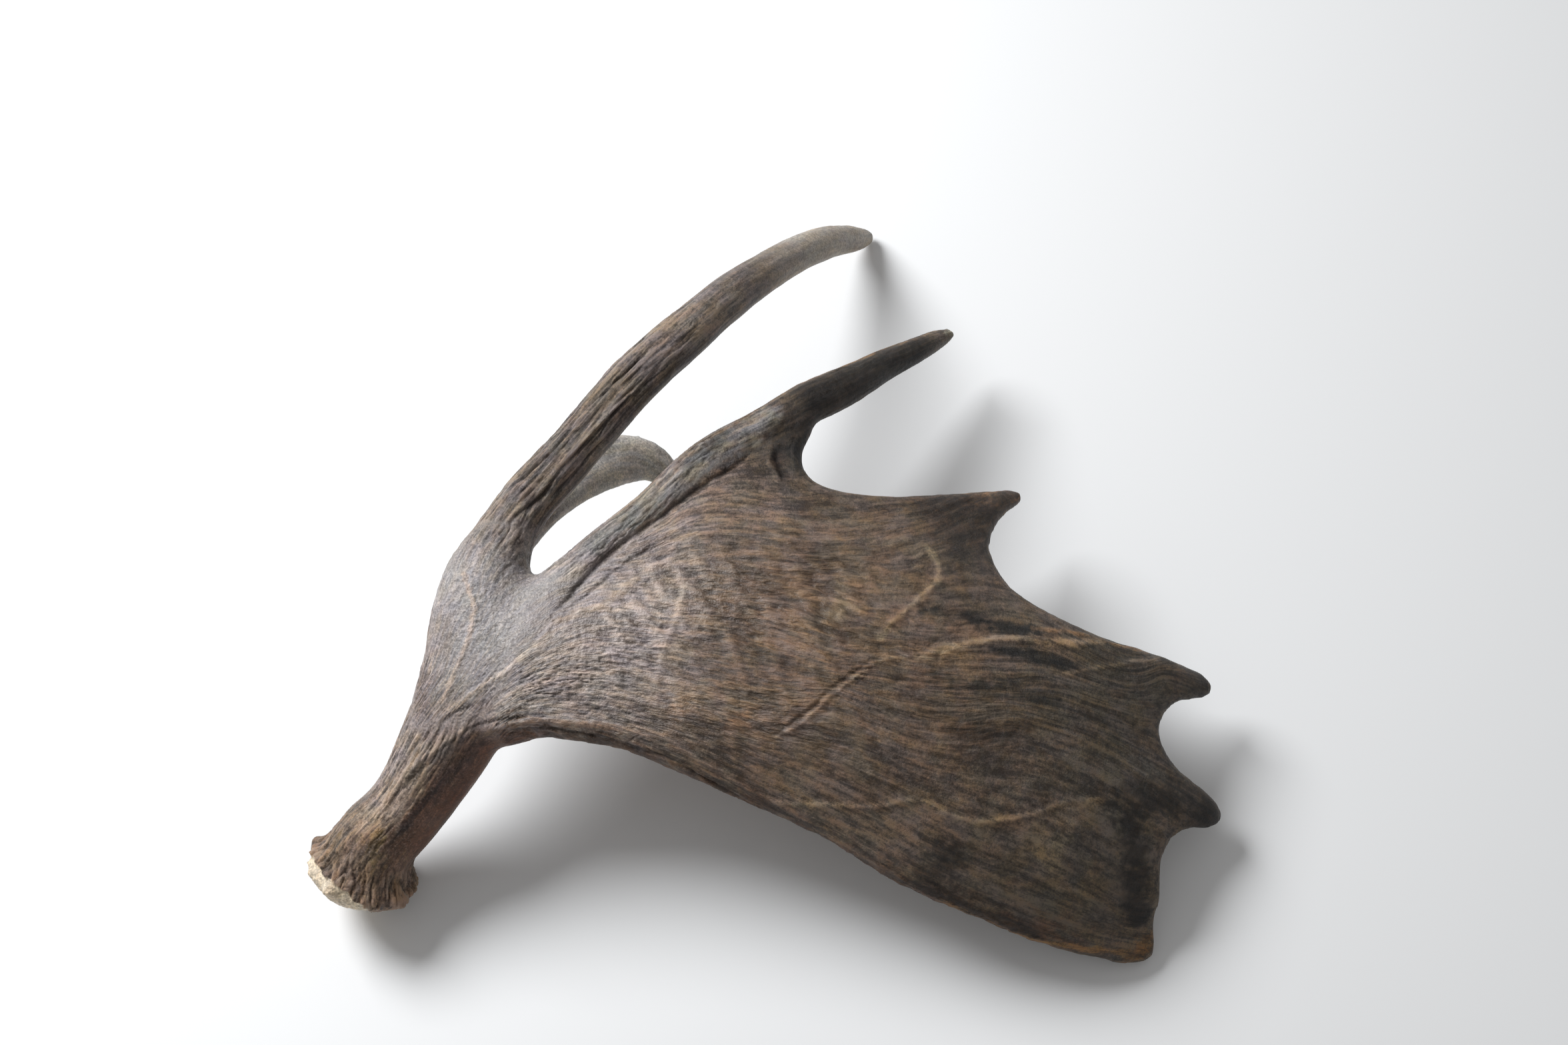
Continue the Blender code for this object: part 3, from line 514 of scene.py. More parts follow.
# where the streaks fade into an even tone: amount, reach, points
EVEN = {
    "forks": (0.8, 30, [(-188, -60, 120), (-188, -105, 118), (-155, -75, 126)]),
    "plain side of the beam": (0.7, 16, [(-228, -212, 50), (-205, -192, 66), (-180, -170, 86)]),
    "short tine": (0.8, 40, [(-135, 30, 70), (-100, 66, 44), (-64, 60, 16)]),
    "end of the brow tine": (0.8, 60, [(0, 186, 96), (40, 236, 50), (72, 268, 6)]),
    "root of the palm": (0.3, 40, [(-120, -100, 124), (-90, -70, 127)])}

# where the skin is pearled with grit: amount, reach, points
GRIT = {
    "forks and root of the palm": (1.0, 52, [
        (-180, -80, 122), (-140, -85, 128), (-100, -90, 128), (-75, -60, 126)]),
    "along the lower lip": (0.8, 26, [(-150, -135, 116), (-100, -135, 118), (-60, -145, 116)]),
    "beam": (0.7, 30, [(-245, -205, 60), (-215, -165, 92)])}

# ---- the finish ----
# patterns along the fibres: length, pitch, detail, roughness, bend
FIBRE_PATTERNS = {
    "dash": (11.0, 2.1, 1.5, 0.5, 0.4),
    "hair": (7.0, 1.2, 0.5, 0.5, 0.4),
    "streak": (36.0, 2.8, 4.0, 0.7, 0.15),
    "band": (90.0, 9.0, 2.0, 0.5, 0.3),
    "hue": (22.0, 6.0, 4.0, 0.5, 0.3)}
# patterns that lie in space: swings to a metre, detail, roughness, bend
PLACE_PATTERNS = {
    "mottle": (190.0, 6.0, 0.85, 0.3),
    "cloud": (26.0, 3.0, 0.6, 0.0),
    "grains": (700.0, 1.5, 0.65, 0.0),
    "other hue": (60.0, 5.0, 0.6, 0.0)}
# what each pattern adds to the light and dark of the bone: the number on the skin that its share
# changes with, the share where that is 0, and where it is 1; the crest's share lightens the ridges
# and darkens the grooves, partly wear and partly painted highlight and painted shade
LIGHT_SHARES = {
    "dash": ("bare", 0.3, 0.3), "hair": ("bare", 0.05, 0.05), "streak": ("bare", 0.5, 0.75),
    "mottle": ("bare", 0.06, 0.62), "cloud": ("bare", 0.1, 0.1), "band": ("bare", 0.3, 0.3),
    "grit": ("bare", 0.16, 0.44), "crest": ("bare", 0.65, 0.65)}
# and to the height of its finest relief, in mm
HEIGHT_SHARES = {
    "dash": ("gritty", 0.2, 0.16), "hair": ("beaded", 0.0, 0.03), "streak": ("bare", 0.05, 0.05),
    "mottle": ("bare", 0.04, 0.16), "grit": ("gritty", 0.03, 0.11)}
# at a full swing of light and dark the tone is multiplied by these
FULL_SWING = 1.1
BRIGHT = (1.9, 1.83, 1.75, 1.0)
DARK = (0.4, 0.39, 0.39, 1.0)
# two patterns turn the hue: from and to which value, one way and the other
COOL = (0.96, 0.99, 1.04, 1.0)
RUSTY = (1.10, 0.985, 0.84, 1.0)
PURPLE = (1.01, 0.965, 1.0, 1.0)
STRAW = (1.02, 1.01, 0.92, 1.0)
HUES = {"hue": (0.36, 0.64, COOL, RUSTY), "other hue": (0.38, 0.62, PURPLE, STRAW)}
# pale flecks and crest lines on the gritty bone: partly dust, partly painted glints and painted
# highlight
DUST_AND_GLINT = "#c0b6b0"


# ---------------------------------------------------------------- numbers on the skin

def read(items, name, size=1, kind=np.float32):
    """One number, or a row of so many numbers, for each vertex, corner or face."""
    flat = np.empty(len(items) * size, kind)
    items.foreach_get(name, flat)
    return flat.reshape(-1, size) if size > 1 else flat


def vertex_places(mesh):
    return read(mesh.vertices, "co", 3).astype(float) / MM


def put_vertices(mesh, places):
    mesh.vertices.foreach_set("co", (places * MM).astype(np.float32).ravel())
    mesh.update()


def vertex_normals(mesh):
    return read(mesh.vertex_normals, "vector", 3).astype(float)


def face_middles(mesh):
    return read(mesh.polygons, "center", 3).astype(float) / MM


def store(mesh, name, values):
    """Keep a number or a vector for each vertex on the mesh."""
    kind = 'FLOAT' if values.ndim == 1 else 'FLOAT_VECTOR'
    attribute = mesh.attributes.new(name, kind, 'POINT')
    attribute.data.foreach_set("value" if values.ndim == 1 else "vector",
                               values.astype(np.float32).ravel())


def unit(vector):
    vector = np.array(vector, float)
    return vector / np.linalg.norm(vector, axis=-1, keepdims=True)


def ease(value, low, high):
    """0 below low, 1 above high, and a soft step between."""
    t = np.clip((value - low) / (high - low), 0.0, 1.0)
    return t * t * (3.0 - 2.0 * t)


def bell(value, reach):
    """1 at zero, fading softly to nearly nothing at twice the reach."""
    return np.exp(-(value / reach) ** 2)


def along(places, path):
    """For each place: the distance to a path, the run along it, and the nearest point of it."""
    path = np.array(path, float)[:, :3]
    if len(path) == 1:
        path = np.vstack([path, path + 0.01])
    steps = np.diff(path, axis=0)
    lengths = np.linalg.norm(steps, axis=1)
    nearest = np.full(len(places), FAR)
    run = np.zeros(len(places))
    foot = np.zeros((len(places), 3))
    for start, step, length, begun in zip(path, steps, lengths, run_of(path)):
        t = np.clip(((places - start) @ step) / (length * length), 0.0, 1.0)
        point = start + t[:, None] * step
        away = np.linalg.norm(places - point, axis=1)
        closer = away < nearest
        nearest[closer] = away[closer]
        run[closer] = begun + t[closer] * length
        foot[closer] = point[closer]
    return nearest, run, foot


def run_of(path):
    """The run along a path at each of its points."""
    return np.concatenate([[0.0], np.cumsum(np.linalg.norm(np.diff(path[:, :3], axis=0), axis=1))])


def smooth_path(rows, spacing):
    """Points about `spacing` apart on a smooth curve through rows, with all columns carried on."""
    rows = np.array(rows, float)
    rows = np.vstack([2 * rows[0] - rows[1], rows, 2 * rows[-1] - rows[-2]])
    steps = np.linalg.norm(np.diff(rows[:, :3], axis=0), axis=1)
    slopes = np.diff(rows, axis=0) / steps[:, None]
    before, after = steps[:-1, None], steps[1:, None]
    tangents = (slopes[:-1] * after + slopes[1:] * before) / (before + after)
    path = []
    for i in range(1, len(rows) - 2):
        leave, arrive = tangents[i - 1] * steps[i], tangents[i] * steps[i]
        for t in np.linspace(0.0, 1.0, max(2, round(steps[i] / spacing)), endpoint=False):
            path.append((2 * t**3 - 3 * t**2 + 1) * rows[i] + (t**3 - 2 * t**2 + t) * leave
                        + (3 * t**2 - 2 * t**3) * rows[i + 1] + (t**3 - t**2) * arrive)
    path.append(rows[-2])
    return np.array(path)


def wander(places, seed):
    """Soft noise, mostly between -1 and 1, with one swing to a unit of distance."""
    shifted = places @ NOISE_TURN + NOISE_SHIFT * seed
    return np.array([noise.noise(place) for place in shifted.tolist()]) * NOISE_GAIN


def field(places, name, more=0):
    """A noise of the table at each place; `more` picks another one like it."""
    height, length, seed = FIELDS[name]
    return height * wander(places / length, seed + more)


def fibre_field(grain, name):
    height, length, pitch, seed = FIBRE_FIELDS[name]
    return height * fibre_noise(grain, pitch, length, seed)


def fibre_noise(grain, pitch, length, seed):
    return wander(grain / np.array([length, pitch, pitch]), seed)


def near_path(places, points, margin):
    """Which places lie in the box round the points, grown by the margin."""
    low = np.min(points, axis=0) - margin
    high = np.max(points, axis=0) + margin
    return np.flatnonzero(np.all((places > low) & (places < high), axis=1))


def brush(places, points, reach, seed):
    """How strongly a soft brush with an uneven edge is felt at each place."""
    felt = np.zeros(len(places))
    near = near_path(places, points, BRUSH_END * reach)
    away = along(places[near], points)[0]
    waver = wander(places[near] / (WAVER_LENGTH + WAVER_GROWTH * reach), seed)
    uneven = 1.0 + BRUSH_WAVER * waver
    felt[near] = bell(away * uneven, reach)
    return felt


def strongest(places, patches, base, seed):
    """The strongest of several brushed patches at each place, and never less than the base."""
    felt = np.full(len(places), base)
    for number, (amount, reach, points) in enumerate(patches.values()):
        felt = np.maximum(felt, amount * brush(places, points, reach, seed + number))
    return felt


def worn(places, patches, seed):
    """1 in general, and less where a brushed patch takes its amount away."""
    left = np.ones(len(places))
    for number, (amount, reach, points) in enumerate(patches.values()):
        left *= 1.0 - amount * brush(places, points, reach, seed + number)
    return left


# ---------------------------------------------------------------- one skin over all the limbs

def work_on(thing):
    bpy.ops.object.select_all(action='DESELECT')
    thing.select_set(True)
    bpy.context.view_layer.objects.active = thing


def with_modifier(thing, kind, **settings):
    """Add a modifier, set it and apply it."""
    work_on(thing)
    modifier = thing.modifiers.new(kind.lower(), kind)
    for name, value in settings.items():
        setattr(modifier, name, value)
    bpy.ops.object.modifier_apply(modifier=modifier.name)


@contextmanager
def editing(thing, kind, chosen=None):
    """Edit mode with the chosen vertices or faces selected, or else everything."""
    work_on(thing)
    bpy.ops.object.mode_set(mode='EDIT')
    bpy.ops.mesh.select_mode(type=kind)
    bpy.ops.mesh.select_all(action='SELECT' if chosen is None else 'DESELECT')
    if chosen is not None:
        bpy.ops.object.mode_set(mode='OBJECT')
        items = thing.data.vertices if kind == 'VERT' else thing.data.polygons
        items.foreach_set("select", chosen)
        bpy.ops.object.mode_set(mode='EDIT')
    yield
    bpy.ops.object.mode_set(mode='OBJECT')


def quarter_faces(thing, chosen):
    with editing(thing, 'FACE', chosen):
        bpy.ops.mesh.subdivide(number_cuts=1)


def grown_together():
    """Copies of all the limbs in one mesh, each cut end reaching a little into its neighbour."""
    copies = []
    for node in frame["nodes"].values():
        limb = bpy.data.objects.new("limb", node.data.copy())
        bpy.context.collection.objects.link(limb)
        copies.append(limb)
    work_on(copies[0])
    for limb in copies:
        limb.select_set(True)
    bpy.ops.object.join()
    antler = copies[0]
    antler.name = "antler"
    antler.data.materials.clear()
    with editing(antler, 'VERT'):
        bpy.ops.mesh.remove_doubles(threshold=DOUBLES * MM)
    places = vertex_places(antler.data)
    for centre, heading in FORKS.values():
        offset = places - np.array(centre)
        height = offset @ unit(heading)
        cut_end = (np.abs(height) < CUT_GAP) & (np.linalg.norm(offset, axis=1) < FORK_REACH)
        push = -np.sign(height[cut_end]) * (CUT_GAP + CUT_OVERLAP)
        places[cut_end] += push[:, None] * unit(heading)
    put_vertices(antler.data, places)
    return antler


def drop_bubbles(thing):
    """Delete the small closed shells left inside where two limbs overlap."""
    heights = vertex_places(thing.data)[:, 2]
    highest = np.arange(len(heights)) == np.argmax(heights)
    with editing(thing, 'VERT', highest):
        bpy.ops.mesh.select_linked()
        bpy.ops.mesh.select_all(action='INVERT')
        bpy.ops.mesh.delete(type='VERT')


def fine_skin(antler):
    """Even quads all over, the facets eased away, and finer ones where the bone shows detail."""
    with_modifier(antler, 'REMESH', mode='VOXEL', voxel_size=COARSE_CELL * MM)
    drop_bubbles(antler)
    with_modifier(antler, 'SMOOTH', factor=0.5, iterations=FACET_ROUNDS)
    facing_down = read(antler.data.polygons, "normal", 3)[:, 2] < DOWNWARD
    on_palm = limb_of(face_middles(antler.data)) == "palm"
    quarter_faces(antler, ~(facing_down & on_palm))
    quarter_faces(antler, in_fine_spot(face_middles(antler.data)))
    with_modifier(antler, 'SMOOTH', factor=0.5, iterations=FINE_ROUNDS)
    with_modifier(antler, 'DISPLACE', strength=SKIN_REGAIN * MM, mid_level=0.0, direction='NORMAL')


def in_fine_spot(places):
    """Where the skin is made finest: the burr, the forks, deep furrows and thin veins."""
    fine = np.zeros(len(places), bool)
    for reach, points in FINE_SPOTS.values():
        fine |= along(places, points)[0] < reach
    for rise, reach, points in STROKES.values():
        if reach < FINE_STROKE and abs(rise) > FINE_RISE:
            fine |= along(places, points)[0] < FINE_BESIDE * reach
    return fine


def mark_forks(antler):
    """Run a clean line of edges round the skin at each fork."""
    for centre, heading in FORKS.values():
        offset = face_middles(antler.data) - np.array(centre)
        near = np.abs(offset @ unit(heading)) < FORK_BAND
        near &= np.linalg.norm(offset, axis=1) < FORK_REACH
        with editing(antler, 'FACE', near):
            bpy.ops.mesh.bisect(plane_co=Vector(centre) * MM, plane_no=Vector(heading).normalized())


def nearest_limb(places):
    """Which middle line is nearest in limb radii, how many radii away, and the next one's."""
    best = np.full(len(places), FAR)
    second = np.full(len(places), FAR)
    which = np.full(len(places), "beam", dtype=object)
    for name, rows in LIMB_LINES.items():
        path = smooth_path(rows, LINE_SPACING)
        away, run, _ = along(places, path)
        ratio = away / np.interp(run, run_of(path), path[:, 3])
        closer = ratio < best
        second = np.where(closer, best, np.minimum(second, ratio))
        which[closer] = name
        best[closer] = ratio[closer]
    return which, best, second


def limb_of(places):
    """The name of the limb that each place belongs to, by the cuts at the forks."""
    which, radii, _ = nearest_limb(places)
    beyond = {}
    for name, (centre, heading) in FORKS.items():
        beyond[name] = (places - np.array(centre)) @ unit(heading) > 0.0
    below_armpit = places[:, 1] < FORKS["palm"][0][1] + PALM_CUT_HALF
    right_of_tines = places[:, 0] > TINES_END
    on_palm = below_armpit | right_of_tines | (which == "upper_palm_tine")
    names = np.full(len(places), "beam", dtype=object)
    names[beyond["palm"] & on_palm] = "palm"
    for tine, (line, girth) in TINE_LINES.items():
        names[beyond[tine] & (which == line) & (radii < girth)] = tine
    return names


# ---------------------------------------------------------------- the run of the bone's fibres

def plate_kernel(a, b):
    away = np.linalg.norm(a[:, None] - b[None], axis=2)
    return away ** 2 * np.log(away + 1e-6)


def spread(knots, values, places):
    """Draw the values at the knots out smoothly over the plan, like a thin bent plate."""
    count = len(knots)
    flat = np.hstack([np.ones((count, 1)), knots])
    matrix = np.zeros((count + 3, count + 3))
    matrix[:count, :count] = plate_kernel(knots, knots) + FAN_SLACK * np.eye(count)
    matrix[:count, count:] = flat
    matrix[count:, :count] = flat.T
    weights = np.linalg.solve(matrix, np.vstack([values, np.zeros((3, values.shape[1]))]))
    result = np.empty((len(places), values.shape[1]))
    for start in range(0, len(places), BATCH):
        plan = places[start:start + BATCH, :2]
        bent = plate_kernel(plan, knots) @ weights[:count]
        result[start:start + BATCH] = bent + weights[count] + plan @ weights[count + 1:]
    return result


def palm_grain(places, ways):
    """Along the fibres of the palm's fan, across them, and round the rim, in mm."""
    knots = []
    values = []
    for number, line in enumerate(GRAIN_LINES):
        line = np.array(line, float)
        runs = np.linalg.norm(line[0] - BURR_CENTRE[:2]) + run_of(line)
        knots.append(line)
        values.append(np.column_stack([runs, np.full(len(line), float(number))]))
    run, number = spread(np.vstack(knots), np.vstack(values), places).T
    tilt = np.arccos(np.clip(ways[:, 2], -1.0, 1.0))
    return np.column_stack([np.interp(run, *np.transpose(FIBRE_COUNT)), GRAIN_SPACING * number,
                            RIM_TURN * tilt])


def limb_grain(places, which):
    """Along a limb, and the place on its ring, in mm."""
    grain = np.zeros((len(places), 3))
    for number, (name, rows) in enumerate(LIMB_LINES.items()):
        path = smooth_path(rows, LINE_SPACING)
        own = np.flatnonzero(which == name)
        _, run, foot = along(places[own], path)
        runs = run_of(path)
        tangents = unit(np.gradient(path[:, :3], axis=0))
        tangent = np.column_stack([np.interp(run, runs, tangents[:, k]) for k in range(3)])
        side = unit(np.cross(tangent, FACE))
        out = np.cross(side, tangent)
        offset = places[own] - foot
        ring = unit(np.column_stack([np.sum(offset * side, axis=1), np.sum(offset * out, axis=1)]))
        radius = np.interp(run, runs, path[:, 3])
        grain[own] = np.column_stack([run + LIMBS_APART * number, ring * radius[:, None]])
    return grain


class Fibres:
    """The run of the fibres at each place on the skin."""

    def __init__(self, places, ways):
        which, radii, next_radii = nearest_limb(places)
        share = 1.0 - ease(radii, *LIMB_FADES)
        on_face = ease(brush(places, FORK_FACE[1], FORK_FACE[0], 0), *FACE_FADES)
        share *= 1.0 - on_face * ease(ways[:, 2], *FACE_TURNS)
        on_limb = share > 0.5
        apart = ease(next_radii - radii, 0.0, LINES_MEET)
        self.limb = limb_grain(places, which)
        self.fan = palm_grain(places, ways)
        # the limb's fibres fade out where two limbs meet, and into the fan
        of_limb = ease(share, *BOTH_FELT)
        self.limb_amount = of_limb * apart
        self.fan_amount = 1.0 - of_limb
        # the one of the two that the finish follows, and how sure its run is
        self.grain = np.where(on_limb[:, None], self.limb, self.fan)
        sure = ease(np.abs(2.0 * share - 1.0), 0.0, SURE_FROM)
        self.sure = np.minimum(sure, np.where(on_limb, apart, 1.0))


# ---------------------------------------------------------------- relief

def ridged(value):
    """Turn soft noise into narrow grooves between broad rounded ridges."""
    return RIDGE_TOP - bell(value, GROOVE_WIDTH)


def ridge_relief(places, grain, amount):
    """Ridges and grooves that run with the fibres, in the places where the bone has them."""
    height = np.zeros(len(places))
    rough = worn(places, PLAIN, SEEDS["plain"])
    for row, (pitch, length, depth, reach, points) in enumerate(RIDGES.values()):
        seed = SEEDS["ridges"] + row
        felt = amount * rough * brush(places, points, reach, seed)
        near = np.flatnonzero(felt > FAINT["ridges"])
        snake = wander(places[near] / (SNAKE_LENGTH * pitch), SEEDS["snake"] + row)
        bent = grain[near] + SNAKE * pitch * np.column_stack([0.0 * snake, snake, -snake])
        height[near] += depth * felt[near] * ridged(fibre_noise(bent, pitch, length, seed))
    return height


def fine_relief(places, grain, amount):
    """The short raised fibres."""
    near = np.flatnonzero(amount > FAINT["fibres"])
    height = np.zeros(len(places))
    height[near] = field(places[near], "bumps among the fibres")
    for name in ("raised fibres", "fine raised fibres"):
        height[near] += fibre_field(grain[near], name)
    return amount * height


def stroke_relief(places, skin):
    """The veins, furrows and lips that can be made out one by one."""
    height = np.zeros(len(places))
    for row, (rise, reach, points) in enumerate(STROKES.values()):
        path = smooth_path(points, STROKE_SPACING)
        path = np.array([skin.find_nearest(Vector(point) * MM)[0] for point in path]) / MM
        near = near_path(places, path, STROKE_END * reach)
        sway = [field(places[near], "sway of a stroke", row + k) for k in range(3)]
        away, run, _ = along(places[near] + reach * np.column_stack(sway), path)
        left = run_of(path)[-1] - run
        ends = ease(run, 0.0, STROKE_FADE) * ease(left, 0.0, STROKE_FADE)
        uneven = 1.0 + field(places[near], "uneven stroke", row)
        height[near] += rise * ends * uneven * bell(away, reach)
    return height


def pucker_relief(places, grain):
    """Low swellings across the fibres in the middle of the palm."""
    return brush(places, *PUCKERED, SEEDS["pucker"]) * fibre_field(grain, "puckers")


def grit_relief(places, gritty):
    near = np.flatnonzero(gritty > FAINT["grit"])
    height = np.zeros(len(places))
    height[near] = field(places[near], "fine grit") + field(places[near], "coarse grit")
    return gritty * height


def above_plane(places, point, way):
    return (places - point) @ unit(way)


def burr_relief(places):
    """Flutes that run down the foot of the beam and end in knobs on the burr's rim."""
    offset = places - BURR_CENTRE
    rise = offset @ unit(BURR_AXIS)
    spoke = offset - rise[:, None] * unit(BURR_AXIS)
    distance = np.linalg.norm(spoke, axis=1)
    climb = above_plane(places, RIM_POINT, RIM_WAY)
    own = (1.0 - ease(climb, *FLUTES_END)) * (distance < BURR_REACH)
    near = np.flatnonzero(own > FAINT["burr"])
    ring = spoke[near] / distance[near, None] * BURR_RADIUS
    run = climb[near, None]
    flutes = np.zeros(len(near))
    for share, pitch, length, seed in FLUTES:
        flutes += share * ridged(wander(ring / pitch + run / length, seed))
    knobs = np.maximum(KNOB_SHARE + wander(ring / KNOB_PITCH, KNOB_SEED), -KNOB_SHARE)
    rim = RIM_HEIGHT * bell(climb[near] - RIM_CLIMB, RIM_WIDTH) * knobs
    height = np.zeros(len(places))
    height[near] = own[near] * (FLUTE_DEPTH * flutes + rim)
    return height


def seal_of(places):
    """1 on the cream seal under the rim of the burr, 0 on the rest of the bone."""
    near_burr = np.linalg.norm(places - BURR_CENTRE, axis=1) < BURR_REACH
    edge = above_plane(places, SEAL_POINT, SEAL_WAY)
    edge += field(places, "edge of the seal") + field(places, "ragged edge of the seal")
    return (1.0 - ease(edge, -SEAL_EDGE, 0.0)) * near_burr


def seal_relief(places, seal):
    """The seal is rough, and set back under the rim."""
    rough = SEAL_RIDGES * ridged(field(places, "ridges of the seal"))
    rough += field(places, "grain of the seal")
    depth = -above_plane(places, SEAL_POINT, SEAL_WAY)
    return seal * (rough - SEAL_STEP * bell(depth - SEAL_DEEPEST, SEAL_STEP_WIDTH))


def carve(antler):
    """Push the skin out and in along its normals, and keep the numbers the bone's finish reads."""
    mesh = antler.data
    places = vertex_places(mesh)
    ways = vertex_normals(mesh)
    skin = BVHTree.FromPolygons([vertex.co for vertex in mesh.vertices],
                                [face.vertices for face in mesh.polygons])
    fibres = Fibres(places, ways)
    bone = 1.0 - seal_of(places)
    gritty = strongest(places, GRIT, 0.0, SEEDS["grit"])
    beaded = strongest(places, BEADED, BASE_BEADS, SEEDS["beads"])
    uneven = worn(places, EVEN, SEEDS["even"])
    lines = stroke_relief(places, skin) + burr_relief(places)
    lines += pucker_relief(places, fibres.grain)
    for grain, amount in ((fibres.limb, fibres.limb_amount), (fibres.fan, fibres.fan_amount)):
        lines += ridge_relief(places, grain, amount)
        lines += fine_relief(places, grain, amount * beaded * uneven)
    lines *= bone
    height = lines + field(places, "lumps") + field(places, "small lumps")
    height += grit_relief(places, gritty) + seal_relief(places, 1.0 - bone)
    moved = places + ways * height[:, None]
    moved[:, 2] = np.maximum(moved[:, 2], 0.0)
    put_vertices(mesh, moved)
    store(mesh, "grain", fibres.grain)
    store(mesh, "crest", lines)
    store(mesh, "gritty", gritty)
    store(mesh, "beaded", beaded * bone)
    store(mesh, "streaked", fibres.sure * uneven * bone)
    store(mesh, "tone", painted(places, fibres.grain, 1.0 - bone))


# ---------------------------------------------------------------- the bone's finish

def light_of(hex_colour):
    """A screen colour such as #8c847c as amounts of light."""
    screen = np.array([int(hex_colour[i:i + 2], 16) for i in (1, 3, 5)]) / 255.0
    return np.where(screen < 0.04045, screen / 12.92, ((screen + 0.055) / 1.055) ** 2.4)


def opaque(hex_colour):
    return (*light_of(hex_colour), 1.0)


def painted(places, grain, seal):
    """The colours laid on in turn, painted shade, light and sheen among them; the edges of the
    small patches are frayed along the fibres.
    """
    tone = np.tile(light_of(BASE_TONE), (len(places), 1))
    fray = fibre_field(grain, "frayed edge of a tone") + field(places, "ragged edge of a tone")
    for row, (colour, reach, points) in enumerate(TONES.values()):
        felt = brush(places, points, reach, SEEDS["tones"] + row)
        if reach < FRAYED_REACH:
            felt = ease(felt + fray, *FRAY_FADES) * ease(felt, *FRAY_ENDS)
        tone += (light_of(colour) - tone) * felt[:, None]
    return tone + (light_of(SEAL_TONE) - tone) * seal[:, None]


class Nodes:
    """Short names for putting a material's nodes together."""

    def __init__(self, material):
        material.use_nodes = True
        self.tree = material.node_tree
        self.tree.nodes.clear()

    def add(self, kind, **settings):
        node = self.tree.nodes.new(kind)
        for name, value in settings.items():
            setattr(node, name, value)
        return node

    def feed(self, node, inputs):
        for name, value in inputs.items():
            if isinstance(value, bpy.types.NodeSocket):
                self.tree.links.new(value, node.inputs[name])
            else:
                node.inputs[name].default_value = value
        return node

    def kept(self, name, kind="Fac"):
        """What the mesh keeps for each vertex under this name."""
        return self.add("ShaderNodeAttribute", attribute_name=name).outputs[kind]

    def calc(self, kind, a, b=0.0, c=0.0):
        return self.feed(self.add("ShaderNodeMath", operation=kind), {0: a, 1: b, 2: c}).outputs[0]

    def times(self, a, b):
        return self.calc('MULTIPLY', a, b)

    def between(self, amount, low, high):
        """Low where the amount is 0, high where it is 1."""
        return self.calc('MULTIPLY_ADD', amount, high - low, low)

    def total(self, patterns, felt, shares):
        """The sum of the patterns, each with its share, which changes with what is felt there."""
        level = 0.0
        for name, (changes_with, low, high) in shares.items():
            share = self.between(felt[changes_with], low, high)
            level = self.calc('MULTIPLY_ADD', patterns[name], share, level)
        return level

    def noise(self, vector, scale, detail, roughness, bend):
        node = self.add("ShaderNodeTexNoise", noise_dimensions='3D')
        self.feed(node, {"Vector": vector, "Scale": scale, "Detail": detail,
                         "Roughness": roughness, "Distortion": bend})
        return node.outputs["Fac"]

    def fibres(self, grain, length, pitch, detail, roughness, bend):
        """A noise drawn out along the fibres: its length and its pitch across them in mm."""
        node = self.add("ShaderNodeVectorMath", operation='MULTIPLY')
        self.feed(node, {0: grain, 1: (1.0 / length, 1.0 / pitch, 1.0 / pitch)})
        return self.noise(node.outputs[0], 1.0, detail, roughness, bend)

    def range(self, value, from_low, from_high, to_low=0.0, to_high=1.0, steps='SMOOTHSTEP'):
        node = self.add("ShaderNodeMapRange", interpolation_type=steps)
        self.feed(node, {"Value": value, "From Min": from_low, "From Max": from_high,
                         "To Min": to_low, "To Max": to_high})
        return node.outputs["Result"]

    def swing(self, noise):
        """A noise around one half, as a swing around zero, mostly between -1 and 1."""
        return self.range(noise, 0.33, 0.67, -1.7, 1.7, 'LINEAR')

    def mix(self, amount, a, b, blend='MIX'):
        node = self.add("ShaderNodeMix", data_type='RGBA', blend_type=blend)
        return self.feed(node, {0: amount, 6: a, 7: b}).outputs[2]


def bone_patterns(make, felt):
    """The noises of the finish; those that make light and dark swing around zero."""
    grain = make.kept("grain", "Vector")
    place = make.add("ShaderNodeTexCoord").outputs["Object"]
    patterns = {"crest": make.kept("crest")}
    for name, settings in FIBRE_PATTERNS.items():
        patterns[name] = make.fibres(grain, *settings)
    for name, settings in PLACE_PATTERNS.items():
        patterns[name] = make.noise(place, *settings)
    patterns["grit"] = make.range(patterns["grains"], 0.3, 0.7, -1.0, 1.0)
    for name in ("dash", "hair", "streak", "band"):
        patterns[name] = make.times(make.swing(patterns[name]), felt["streaked"])
    patterns["dash"] = make.times(patterns["dash"], felt["beaded"])
    patterns["mottle"] = make.times(make.swing(patterns["mottle"]), felt["soft"])
    patterns["cloud"] = make.swing(patterns["cloud"])
    return patterns


